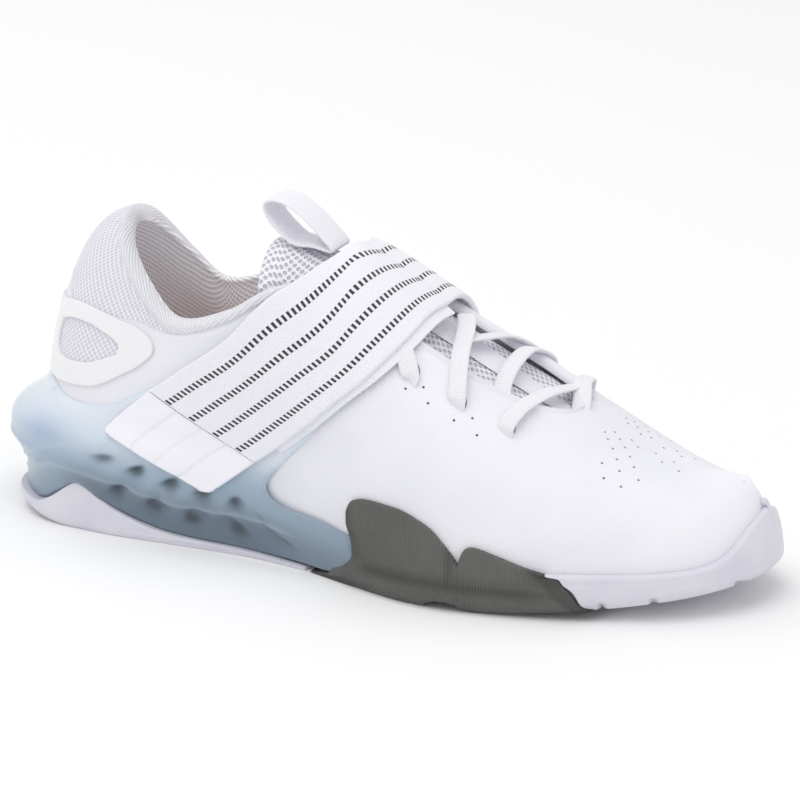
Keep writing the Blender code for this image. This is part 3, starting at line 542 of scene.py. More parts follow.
def make_piece(name: str, sheets: Sequence[Sheet], finishes: Sequence[bpy.types.Material],
               fill: bool = False, sharp: float = 55.0) -> bpy.types.Object:
    """One closed piece from its grids.

    Args:
        name: Name of the piece.
        sheets: Grids, which are welded where they meet.
        finishes: Materials, in the order of the grids' numbers.
        fill: Whether open ends are closed.
        sharp: Angle past which an edge stays sharp, in degrees.

    Returns:
        The piece, linked to the scene.
    """
    names = sorted({key for sheet in sheets for key in sheet.marks})
    shape = bmesh.new()
    for sheet in sheets:
        part = sheet.mesh(names)
        shape.from_mesh(part)
        bpy.data.meshes.remove(part)
    spare = [face for face in shape.faces if face.material_index == LEFT_OUT]
    bmesh.ops.delete(shape, geom=spare, context='FACES')
    bmesh.ops.remove_doubles(shape, verts=shape.verts, dist=2e-6)
    bmesh.ops.dissolve_degenerate(shape, dist=1e-7, edges=shape.edges)
    loose = [vertex for vertex in shape.verts if not vertex.link_faces]
    bmesh.ops.delete(shape, geom=loose, context='VERTS')
    if fill:
        rims = [edge for edge in shape.edges if edge.is_boundary]
        made = bmesh.ops.holes_fill(shape, edges=rims, sides=0)
        bmesh.ops.triangulate(shape, faces=made["faces"])
    bmesh.ops.recalc_face_normals(shape, faces=shape.faces)
    mesh = bpy.data.meshes.new(name)
    shape.to_mesh(mesh)
    shape.free()
    mesh.shade_smooth()
    mesh.set_sharp_from_angle(angle=math.radians(sharp))
    piece = bpy.data.objects.new(name, mesh)
    bpy.context.scene.collection.objects.link(piece)
    for finish in finishes:
        mesh.materials.append(finish)
    return piece


def settle(piece: bpy.types.Object, slot: str, *nodes: str) -> None:
    """Let a piece ride on the shoe and hide the solids that it stands for.

    Args:
        piece: The finished piece.
        slot: Not used.
        nodes: Solids that it stands for.
    """
    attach(piece, "root")
    if nodes:
        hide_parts(*nodes)
    LOG.info("%s: %d faces", piece.name, len(piece.data.polygons))


def linear(colour: Sequence[float]) -> tuple[float, float, float, float]:
    """Colour for a socket, from screen values of 0 to 255."""
    parts = [value / 255 for value in colour]
    made = [p / 12.92 if p <= 0.04045 else ((p + 0.055) / 1.055)**2.4 for p in parts]
    return (made[0], made[1], made[2], 1.0)


class Bench:
    """Node tree of one finish, with short ways to add its nodes."""

    def __init__(self, name: str) -> None:
        """Start a material with its shader."""
        self.material = bpy.data.materials.new(name)
        self.material.use_nodes = True
        self.tree = self.material.node_tree
        self.shader = self.tree.nodes["Principled BSDF"]

    def node(self, kind: str, links: dict | None = None, **settings: object) -> bpy.types.Node:
        """Add a node.

        Args:
            kind: Type of the node.
            links: Socket or value for each input.
            settings: Other properties of the node.

        Returns:
            The node.
        """
        made = self.tree.nodes.new(kind)
        for key, value in settings.items():
            setattr(made, key, value)
        for key, value in (links or {}).items():
            self.feed(made.inputs[key], value)
        return made

    def feed(self, socket: bpy.types.NodeSocket, value: object) -> None:
        """Link a socket, or set its value."""
        if isinstance(value, bpy.types.NodeSocket):
            self.tree.links.new(value, socket)
        else:
            socket.default_value = value

    def sum(self, kind: str, first: object, second: object = 0.0,
            third: object = 0.0) -> bpy.types.NodeSocket:
        """Result of a Math node."""
        return self.node("ShaderNodeMath", {0: first, 1: second, 2: third},
                         operation=kind).outputs[0]

    def place(self) -> bpy.types.NodeSocket:
        """Place on the piece."""
        return self.node("ShaderNodeTexCoord").outputs["Object"]

    def chart(self) -> tuple[bpy.types.NodeSocket, bpy.types.NodeSocket]:
        """Along and up the piece's own map."""
        split = self.node("ShaderNodeSeparateXYZ",
                          {0: self.node("ShaderNodeTexCoord").outputs["UV"]})
        return split.outputs[0], split.outputs[1]

    def mark(self, name: str) -> bpy.types.NodeSocket:
        """A mark painted on the piece's points."""
        return self.node("ShaderNodeAttribute", attribute_name=name).outputs["Fac"]

    def noise(self, size: float, detail: float = 3.0) -> bpy.types.NodeSocket:
        """Noise whose grains have a size in metres."""
        return self.node("ShaderNodeTexNoise", {"Vector": self.place(), "Scale": 1.0 / size,
                                                "Detail": detail}).outputs["Fac"]

    def band(self, value: object, low: float, high: float) -> bpy.types.NodeSocket:
        """0 below low, 1 above high, smooth between."""
        made = self.node("ShaderNodeMapRange", {0: value, 1: low, 2: high, 3: 0.0, 4: 1.0},
                         interpolation_type='SMOOTHSTEP')
        return made.outputs[0]

    def ramp(self, value: object, stops: Sequence[tuple]) -> bpy.types.NodeSocket:
        """Colour by a value, through stops of place and screen colour."""
        made = self.node("ShaderNodeValToRGB", {0: value})
        points = made.color_ramp.elements
        while len(points) < len(stops):
            points.new(0.5)
        for point, (at, colour) in zip(points, stops):
            point.position = at
            point.color = linear(colour)
        return made.outputs[0]

    def mix(self, share: object, first: object, second: object) -> bpy.types.NodeSocket:
        """Mix of two colours."""
        made = self.node("ShaderNodeMix", data_type='RGBA')
        self.feed(made.inputs[0], share)
        self.feed(made.inputs[6], first)
        self.feed(made.inputs[7], second)
        return made.outputs[2]

    def holes(self, pitch: float, low: float, high: float) -> bpy.types.NodeSocket:
        """Staggered round holes of a mesh cloth: 1 in a hole, 0 on the yarn."""
        uv = self.node("ShaderNodeTexCoord").outputs["UV"]
        fine = self.node("ShaderNodeVectorMath", {0: uv, 3: 1.0 / pitch}, operation='SCALE')
        away = []
        for shift in (0.0, 0.5):
            moved = self.node("ShaderNodeVectorMath", {0: fine.outputs[0],
                                                       1: (shift, shift, 0.0)})
            part = self.node("ShaderNodeVectorMath", {0: moved.outputs[0]},
                             operation='FRACTION')
            middle = self.node("ShaderNodeVectorMath", {0: part.outputs[0],
                                                        1: (0.5, 0.5, 0.0)},
                               operation='SUBTRACT')
            flat = self.node("ShaderNodeVectorMath", {0: middle.outputs[0],
                                                      1: (1.0, 1.0, 0.0)},
                             operation='MULTIPLY')
            away.append(self.node("ShaderNodeVectorMath", {0: flat.outputs[0]},
                                  operation='LENGTH').outputs["Value"])
        near = self.sum('MINIMUM', away[0], away[1])
        return self.sum('SUBTRACT', 1.0, self.band(near, low, high))

    def bump(self, layers: Sequence[tuple]) -> None:
        """Heights in metres on the shader's normal: pairs of height socket and depth."""
        normal = None
        for height, depth in layers:
            made = self.node("ShaderNodeBump", {"Height": height, "Distance": depth,
                                                "Strength": 1.0})
            if normal is not None:
                self.feed(made.inputs["Normal"], normal)
            normal = made.outputs[0]
        if normal is not None:
            self.feed(self.shader.inputs["Normal"], normal)

    def finish(self, colour: object, roughness: object, **settings: float) -> bpy.types.Material:
        """Set the shader's sockets and give the material.

        Args:
            colour: Socket or linear colour.
            roughness: Socket or number.
            settings: Other sockets by name, with _ for a space.

        Returns:
            The material.
        """
        self.feed(self.shader.inputs["Base Color"], colour)
        self.feed(self.shader.inputs["Roughness"], roughness)
        for key, value in settings.items():
            self.shader.inputs[key.replace("_", " ")].default_value = value
        return self.material


@dataclass(frozen=True)
class Synthetic:
    """Smooth coated synthetic of the upper, with a fine grain and soft shade."""

    name: str = "upper_synthetic"
    colour: tuple = (238, 238, 244)
    shade: tuple = (222, 221, 233)
    roughness: float = 0.50
    coat: float = 0.10

    def make(self) -> bpy.types.Material:
        """Build the material."""
        bench = Bench(self.name)
        cloud = bench.band(bench.noise(0.045, 2.0), 0.35, 0.75)
        grain = bench.noise(0.00055, 2.0)
        pores = bench.node("ShaderNodeTexVoronoi", {"Vector": bench.place(),
                                                    "Scale": 1.0 / 0.0011}).outputs["Distance"]
        tint = bench.mix(bench.sum('MULTIPLY', cloud, 0.5), linear(self.colour),
                         linear(self.shade))
        worn = bench.mix(bench.mark("line"), tint, linear((196, 196, 206)))
        rough = bench.node("ShaderNodeMapRange", {0: grain, 3: self.roughness - 0.06,
                                                  4: self.roughness + 0.08}).outputs[0]
        bench.bump([(pores, 0.00006), (grain, 0.00005)])
        return bench.finish(worn, rough, Coat_Weight=self.coat, Coat_Roughness=0.35)


@dataclass(frozen=True)
class Mesh:
    """Knitted mesh cloth with staggered holes, on the piece's map; where a deep colour is given,
    with painted shade lower inside the shoe and a painted glow.
    """

    name: str
    yarn: tuple
    hole: tuple
    pitch: float
    open: float = 0.24
    depth: float = 0.00025
    # Colour of the painted shade lower inside the shoe
    deep: tuple | None = None
    # Strength of the painted glow, which stands in for light bounced inside the shoe
    through: float = 0.16

    def make(self) -> bpy.types.Material:
        """Build the material."""
        bench = Bench(self.name)
        hole = bench.holes(self.pitch, self.open * 0.7, self.open * 1.35)
        fuzz = bench.noise(0.0004, 2.0)
        yarn, gap = linear(self.yarn), linear(self.hole)
        # Painted shade: yarn and holes turn to the deep colour lower inside the shoe
        if self.deep is not None:
            split = bench.node("ShaderNodeSeparateXYZ", {0: bench.place()})
            low = bench.sum('SUBTRACT', 1.0, bench.band(split.outputs[2], 0.045, 0.095))
            yarn = bench.mix(low, yarn, linear(self.deep))
            gap = bench.mix(low, gap, linear(tuple(0.82 * part for part in self.deep)))
        colour = bench.mix(hole, yarn, gap)
        solid = bench.sum('SUBTRACT', 1.0, hole)
        bench.bump([(solid, self.depth), (fuzz, 0.00008)])
        # Painted glow: the cloth gives off its own colour
        if self.deep is not None:
            bench.feed(bench.shader.inputs["Emission Color"], colour)
            bench.feed(bench.shader.inputs["Emission Strength"], self.through)
        return bench.finish(colour, 0.85, Sheen_Weight=0.15)


@dataclass(frozen=True)
class Cage:
    """Moulded translucent plastic: clear over the upper, blue grey in the mass of the heel."""

    name: str = "cage_plastic"

    def make(self) -> bpy.types.Material:
        """Build the material."""
        bench = Bench(self.name)
        split = bench.node("ShaderNodeSeparateXYZ", {0: bench.place()})
        wave = bench.sum('MULTIPLY', bench.sum('SUBTRACT', bench.noise(0.03, 2.0), 0.5), 0.006)
        height = bench.sum('ADD', split.outputs[2], wave)
        tall = bench.node("ShaderNodeMapRange", {0: height, 1: 0.0, 2: 0.06}).outputs[0]
        body = bench.ramp(tall, [(0.05, (122, 140, 156)), (0.26, (134, 153, 170)),
                                 (0.46, (158, 178, 196)), (0.62, (206, 217, 229)),
                                 (0.80, (228, 233, 240))])
        body = bench.mix(bench.sum('MULTIPLY', bench.mark("shade"), 0.8), body,
                         linear((92, 107, 122)))
        # Painted shade: dark blue grey in the dents
        dent = bench.mark("dent")
        body = bench.mix(bench.sum('MULTIPLY', bench.band(dent, 0.1, 1.0), 0.85), body,
                         linear((44, 54, 66)))
        body = bench.mix(bench.sum('MULTIPLY', bench.mark("glow"), 0.55), body,
                         linear((150, 172, 206)))
        # Painted highlight: paler on the raised crests
        body = bench.mix(bench.sum('MULTIPLY', bench.mark("crest"), 0.35), body,
                         linear((190, 208, 222)))
        body = bench.mix(bench.mark("film"), body, linear((226, 229, 239)))
        rough = bench.node("ShaderNodeMapRange", {0: bench.noise(0.004), 3: 0.26,
                                                  4: 0.36}).outputs[0]
        bench.bump([(bench.noise(0.0009), 0.00002)])
        return bench.finish(body, rough, Subsurface_Weight=0.25, Subsurface_Scale=0.004,
                            Coat_Weight=0.35, Coat_Roughness=0.18)


@dataclass(frozen=True)
class Rubber:
    """Rubber with a satin skin."""

    name: str
    colour: tuple
    shade: tuple
    roughness: float = 0.55
    ribs: float = 0.0

    def make(self) -> bpy.types.Material:
        """Build the material."""
        bench = Bench(self.name)
        cloud = bench.band(bench.noise(0.02, 3.0), 0.3, 0.8)
        body = bench.mix(cloud, linear(self.colour), linear(self.shade))
        # Painted shade: much darker where the channel mark lies, in sunk channels and grooves
        body = bench.mix(bench.sum('MULTIPLY', bench.mark("channel"), 0.8), body,
                         linear(tuple(0.42 * part for part in self.colour)))
        layers = [(bench.noise(0.0006), 0.00005)]
        if self.ribs:
            u, _ = bench.chart()
            wave = bench.sum('SINE', bench.sum('MULTIPLY', u, 2 * math.pi / self.ribs))
            # Painted highlight: the rib tops a little lighter
            body = bench.mix(bench.sum('MULTIPLY', bench.band(wave, -0.6, 0.9), 0.16), body,
                             linear(tuple(min(255, 1.35 * part) for part in self.colour)))
            layers.append((wave, 0.00010))
        bench.bump(layers)
        return bench.finish(body, self.roughness, Specular_IOR_Level=0.4)


@dataclass(frozen=True)
class Webbing:
    """Woven strap: fine ribs across, woven bars in rows along it where it has any."""

    name: str
    colour: tuple = (243, 243, 249)
    rib: float = 0.0006
    bars: bool = False
    bar_pitch: float = 0.00192
    bar_rows: tuple = (0.175, 0.218)

    def make(self) -> bpy.types.Material:
        """Build the material."""
        bench = Bench(self.name)
        u, v = bench.chart()
        ribs = bench.sum('SINE', bench.sum('MULTIPLY', u, 2 * math.pi / self.rib))
        fuzz = bench.noise(0.0005, 3.0)
        body = bench.mix(bench.sum('MULTIPLY', fuzz, 0.25), linear(self.colour),
                         linear((214, 212, 226)))
        layers = [(ribs, 0.00003), (fuzz, 0.00008)]
        if self.bars:
            first, spacing = self.bar_rows
            row = bench.sum('DIVIDE', bench.sum('SUBTRACT', v, first), spacing)
            row = bench.sum('SUBTRACT', row, bench.sum('ROUND', row))
            across = bench.sum('SUBTRACT', 1.0, bench.band(bench.sum('ABSOLUTE', row), 0.112, 0.130))
            inside = bench.sum('MULTIPLY', bench.band(v, first - 0.06, first - 0.05),
                               bench.sum('SUBTRACT', 1.0, bench.band(v, 0.88, 0.89)))
            beat = bench.sum('FRACT', bench.sum('DIVIDE', u, self.bar_pitch))
            along = bench.sum('SUBTRACT', 1.0, bench.band(
                bench.sum('ABSOLUTE', bench.sum('SUBTRACT', beat, 0.5)), 0.22, 0.28))
            bar = bench.sum('MULTIPLY', bench.sum('MULTIPLY', across, inside), along)
            bar = bench.sum('MULTIPLY', bar, bench.mark("face"))
            body = bench.mix(bar, body, linear((52, 50, 60)))
            layers.append((bench.sum('MULTIPLY', across, inside), 0.00012))
            layers.append((bar, 0.00010))
        bench.bump(layers)
        return bench.finish(body, 0.72, Sheen_Weight=0.2)


@dataclass(frozen=True)
class Cord:
    """Flat woven lace, ribbed across."""

    name: str = "lace_cotton"
    colour: tuple = (244, 244, 248)
    rib: float = 0.0008

    def make(self) -> bpy.types.Material:
        """Build the material."""
        bench = Bench(self.name)
        u, v = bench.chart()
        ribs = bench.sum('SINE', bench.sum('MULTIPLY', u, 2 * math.pi / self.rib))
        yarn = bench.sum('SINE', bench.sum('MULTIPLY', v, 2 * math.pi / 0.0009))
        # Painted shade: the troughs between the ribs a little darker
        body = bench.mix(bench.band(ribs, 0.2, -1.0), linear(self.colour), linear((233, 232, 240)))
        bench.bump([(ribs, 0.00005), (yarn, 0.00004)])
        return bench.finish(body, 0.85, Sheen_Weight=0.15)


@dataclass(frozen=True)
class Film:
    """Smooth welded film and moulded tab, satin white."""

    name: str
    colour: tuple
    roughness: float = 0.38

    def make(self) -> bpy.types.Material:
        """Build the material."""
        bench = Bench(self.name)
        cloud = bench.band(bench.noise(0.03, 2.0), 0.3, 0.8)
        body = bench.mix(bench.sum('MULTIPLY', cloud, 0.4), linear(self.colour),
                         linear(tuple(part - 8 for part in self.colour)))
        # The line mark darkens the film's outlines, and on the tab paints shade in the grooves
        body = bench.mix(bench.mark("line"), body, linear((205, 205, 208)))
        bench.bump([(bench.noise(0.0008), 0.00003)])
        return bench.finish(body, self.roughness, Coat_Weight=0.2, Coat_Roughness=0.25)


class Finishes:
    """Every material of the shoe, made once."""

    def __init__(self) -> None:
        """Make the materials."""
        self.synthetic = Synthetic().make()
        self.rim = Mesh("collar_textile", (242, 242, 247), (216, 215, 226), 0.0014, 0.20).make()
        self.heel_mesh = Mesh("heel_textile", (241, 241, 248), (217, 215, 230), 0.0024, 0.24).make()
        # The lining gets painted shade, warmer and darker low in the shoe, and a painted glow
        self.lining = Mesh("lining_mesh", (244, 242, 246), (206, 203, 209), 0.0021, 0.24,
                           deep=(222, 200, 194)).make()
        self.tongue = Mesh("tongue_mesh", (242, 241, 248), (196, 194, 207), 0.0033, 0.20,
                           0.0005).make()
        self.cage = Cage().make()
        self.pale = Rubber("pale_rubber", (222, 221, 230), (212, 211, 222), 0.5).make()
        self.dark = Rubber("dark_rubber", (97, 97, 94), (88, 88, 86), 0.55, ribs=0.0010).make()
        self.strap = Webbing("strap_webbing", bars=True).make()
        self.webbing = Webbing("plain_webbing", rib=0.0009).make()
        self.tab = Film("tab_synthetic", (244, 244, 250)).make()
        self.film = Film("counter_film", (243, 243, 245)).make()
        self.lace = Cord().make()
        self.insole = Mesh("insole_textile", (176, 174, 178), (150, 148, 152), 0.0012, 0.22).make()


@dataclass
class Upper:
    """Hollow upper: outer skin, padded rim, throat edge and lining in one closed shell."""

    wall: float = 0.0024
    throat_wall: float = 0.0030
    collar_pad: float = 0.0056
    rim_strip: float = 0.0034
    piping: float = 0.0009
    piping_back: float = 0.0030
    ribs_per_row: int = 12
    outer_rows: int = 44
    inner_rows: int = 26
    edge_rows: tuple = (0.0088, 0.0080, 0.0078, 0.0070, 0.0060, 0.0050, 0.0044, 0.0038, 0.0032,
                        0.0026, 0.0020, 0.0014, 0.0009, 0.0004)

    def stations(self) -> Array:
        """Stations of the columns, closer round the throat's front."""
        bend = np.linspace(0, math.pi / 2, 19)[1:]
        return np.concatenate([
            np.linspace(0, THROAT_BEND, int(THROAT_BEND * self.ribs_per_row) + 1),
            THROAT_BEND + (THROAT_END - THROAT_BEND) * np.sin(bend),
            np.linspace(THROAT_END, LAST_ROW, 4 * self.ribs_per_row + 1)[1:]])

    def thickness(self, station: Array, share: Array) -> Array:
        """A thin wall that swells to the padded collar."""
        rise = smoothstep((share - 0.45) / 0.40)
        collar = 1.0 - smoothstep((station - 4.4) / 2.0)
        edge = self.throat_wall + (self.collar_pad - self.throat_wall) * collar
        return self.wall + (edge - self.wall) * rise * (station < THROAT_END)

    def textile_depth(self, station: Array) -> Array:
        """How far below the rim the collar's cloth reaches."""
        return spline((0.0, 1.3, 2.2, 2.8, 3.4, 3.8, 4.3, 5.3, 6.3, 7.0),
                      (0.0270, 0.0245, 0.0195, 0.0135, 0.0075, 0.0040, 0.0024, 0.0022, 0.0028,
                       0.0034), np.minimum(station, 7.0))

    def relief(self, points: Array, station: Array, below: Array) -> Array:
        """Soft creases, the eyestay's step, the piping and the seam under the rim."""
        x, z = points[..., 0] / FORM.length, points[..., 2] / FORM.collar_height
        lift = np.zeros(x.shape)
        for at_x, at_z, run_x, run_z, long, wide, deep in CREASES:
            size = math.hypot(run_x, run_z)
            along = ((x - at_x) * run_x + (z - at_z) * run_z * 0.377) / size
            across = ((x - at_x) * run_z - (z - at_z) * run_x * 0.377) / size
            lift -= deep * np.exp(-(along / long)**2 - (across / wide)**2)
        throat = smoothstep((station - 6.6) / 0.5) * (station <= THROAT_END)
        bead = np.exp(-((below - 0.5 * self.piping_back) / (0.28 * self.piping_back))**2)
        lift += throat * self.piping * bead
        rim = 1.0 - smoothstep((station - 6.4) / 0.6)
        seam = np.exp(-((below - self.rim_strip) / 0.0007)**2)
        lift -= rim * 0.0005 * seam
        lift += rim * 0.0006 * np.exp(-((below - 0.5 * self.rim_strip) / 0.0030)**2)
        return lift

    def side(self, ring: Array) -> tuple[Array, dict[str, Array], Array]:
        """Rows of points for every rib, their marks and the finish of each strip."""
        station = station_of(ring)
        edge = FORM.throat(station)
        long = np.linalg.norm(FORM.point(ring, edge) - FORM.point(ring, edge * 0.9), axis=-1) / 0.1
        shut = station > THROAT_END - 1e-6
        first = edge * (1.0 - self.edge_rows[0] / long)
        shares = [first * k / self.outer_rows for k in range(self.outer_rows)]
        shares += [edge * (1.0 - depth / long) for depth in self.edge_rows] + [edge]
        shares = np.array(shares)
        below = (edge - shares) / edge * long
        rings = np.broadcast_to(ring, shares.shape)
        outer = FORM.point(rings, shares)
        lift = self.relief(outer, np.broadcast_to(station, shares.shape), below)
        lift[-1] = 0.0
        outer += lift[..., None] * FORM.normal(rings, shares)
        part = 1.0 - np.arange(self.inner_rows + 1)[:, None] / self.inner_rows
        inner_share = edge * part
        rings = np.broadcast_to(ring, inner_share.shape)
        depth = self.thickness(np.broadcast_to(station, inner_share.shape), part + 0 * edge)
        inner = FORM.point(rings, inner_share) - depth[..., None] * FORM.normal(rings, inner_share)
        tangent = unit(outer[-1] - outer[-3])
        tangent = np.where(shut[:, None], np.array([-1.0, 0.0, 0.0]), tangent)
        width = np.linalg.norm(outer[-1] - inner[0], axis=-1, keepdims=True)
        roll = []
        for turn in np.linspace(0, math.pi, 11)[1:-1]:
            across = 0.5 - 0.5 * math.cos(turn)
            point = outer[-1] + (inner[0] - outer[-1]) * across
            point = point + tangent * width * 0.45 * math.sin(turn)
            point[:, 1:2] = np.where(shut[:, None], outer[-1][:, 1:2], point[:, 1:2])
            roll.append(point)
        rows = np.concatenate([outer, np.array(roll), inner, outer[:1]])
        count = len(outer)
        seen = np.zeros(rows.shape[:2])
        strip = np.full((len(rows) - 1, len(ring) - 1), 0)
        cloth = self.textile_depth(station)
        middle = 0.5 * (below[1:] + below[:-1])
        strip[:count - 1][middle[:, :-1] < cloth[:-1]] = 2
        strip[:count - 1][middle[:, :-1] < np.minimum(cloth[:-1], self.rim_strip)] = 1
        x, z = outer[:-1, :-1, 0] / FORM.length, outer[:-1, :-1, 2] / FORM.collar_height
        window = ((x - 0.120) / 0.072)**2 + ((z - 0.605) / 0.078)**2 < 1.0
        strip[:count - 1][window & (middle[:, :-1] > 0.02)] = 2
        on_throat = station[:-1] > 6.9
        strip[:count - 1][:, on_throat] = 0
        strip[count - 1:count + 4] = np.where(on_throat, 0, 1)
        strip[count + 4:] = 3
        strip[count + 4:count + len(roll) + 6] = np.where(on_throat, 0, 3)
        dead = shut[:-1] & shut[1:]
        strip[count - 1:count + len(roll)][:, dead] = LEFT_OUT
        line = np.exp(-((below - cloth) / 0.0006)**2) * (station < 6.9) * 0.8
        seen[:count] = line
        return rows, {"line": seen}, strip

    def build(self, finishes: Finishes) -> bpy.types.Object:
        """Make the shell and cut its eyelets and pinholes."""
        station = self.stations()
        ring = np.concatenate([station, 2 * LAST_ROW - station[-2::-1]])
        rows, marks, strip = self.side(ring)
        sheet = Sheet(rows, marks, strip)
        piece = make_piece("upper_shell", [sheet], [finishes.synthetic, finishes.rim,
                                                    finishes.heel_mesh, finishes.lining])
        self.pierce(piece)
        settle(piece, "upper_synthetic", "upper")
        return piece

    def pierce(self, piece: bpy.types.Object) -> None:
        """Cut the oval eyelets and the pinholes through the outer skin."""
        cutter = bmesh.new()
        for ring, share, long, wide, turn in hole_places():
            at = np.array([ring])
            spot = FORM.point(at, np.array([share]))[0]
            normal = FORM.normal(at, np.array([share]))[0]
            made = bmesh.ops.create_cone(cutter, cap_ends=True, segments=14, radius1=1.0,
                                         radius2=1.0, depth=1.0)["verts"]
            bmesh.ops.scale(cutter, verts=made, vec=(long, wide, HOLE_DEPTH))
            axis = Vector(normal * np.array([1.0, -1.0, 1.0])).to_track_quat('Z', 'Y')
            matrix = axis.to_matrix().to_4x4()
            bmesh.ops.rotate(cutter, verts=made, cent=(0, 0, 0),
                             matrix=Matrix.Rotation(math.radians(turn), 4, 'Z'))
            bmesh.ops.transform(cutter, verts=made, matrix=matrix)
            bmesh.ops.translate(cutter, verts=made, vec=Vector(FORM.world(spot)))
        mesh = bpy.data.meshes.new("hole_guide")
        cutter.to_mesh(mesh)
        cutter.free()
        guide = bpy.data.objects.new("hole_guide", mesh)
        bpy.context.scene.collection.objects.link(guide)
        apply_cut(piece, guide)


def apply_cut(piece: bpy.types.Object, guide: bpy.types.Object) -> None:
    """Cut a piece with a guide and remove the guide."""
    step = piece.modifiers.new("cut", 'BOOLEAN')
    step.object = guide
    step.operation = 'DIFFERENCE'
    step.solver = 'EXACT'
    view = bpy.context.evaluated_depsgraph_get()
    old = piece.data
    piece.data = bpy.data.meshes.new_from_object(piece.evaluated_get(view))
    piece.modifiers.clear()
    piece.data.name = piece.name
    bpy.data.meshes.remove(old)
    spare = guide.data
    bpy.data.objects.remove(guide)
    bpy.data.meshes.remove(spare)


# Creases and hollows of the upper, seen from the side
CREASES = (
    # x in lengths, height in collar heights, run in x, run in height, half length, half width, depth
    (0.745, 0.270, 0.35, 1.0, 0.040, 0.014, 0.00035),
    (0.700, 0.330, 0.45, 1.0, 0.040, 0.012, 0.00025),
    (0.520, 0.440, 1.0, 0.9, 0.060, 0.016, 0.00050),
    (0.860, 0.260, 0.9, 0.4, 0.050, 0.020, 0.00040),
)

# Eyelets as places on the ring, set back from the throat's edge
EYELETS = (7.25, 7.90, 8.58, 9.25)
EYELET_BACK = 0.0130
EYELET_HALF = (0.0034, 0.0017)
PINHOLE_HALF = 0.00052
HOLE_DEPTH = 0.007

# Pinholes of quarter and vamp: station and share of the rib
PINHOLES = (
    (7.783, 0.546), (8.036, 0.591), (8.121, 0.548), (8.505, 0.541), (8.750, 0.584),
    (8.839, 0.531), (10.360, 0.884), (10.476, 0.927), (10.428, 0.850), (10.572, 0.899),
    (10.725, 0.948), (10.530, 0.808), (10.675, 0.861), (10.844, 0.920), (11.153, 0.948),
    (10.622, 0.756), (10.782, 0.817), (11.304, 0.894), (11.547, 0.942), (10.448, 0.688),
    (10.879, 0.759), (10.697, 0.691), (11.680, 0.866), (10.519, 0.610), (10.991, 0.685),
    (10.765, 0.602),
)


def hole_places() -> list[tuple]:
    """Every hole of the upper: ring, share, half length, half width and turn."""
    places = []
    for side in Side:
        for station in EYELETS:
            at = np.array([float(station)])
            share = FORM.throat(at)
            ring = ring_at(at, side)
            edge = FORM.point(ring, share)
            down = np.linalg.norm(FORM.point(ring, share - 0.05) - edge) / 0.05
            places.append((ring[0], share[0] - EYELET_BACK / down, *EYELET_HALF, 90.0))
        for station, share in PINHOLES:
            ring = ring_at(np.array(station), side)
            places.append((ring, share, PINHOLE_HALF, PINHOLE_HALF, 0.0))
    return places


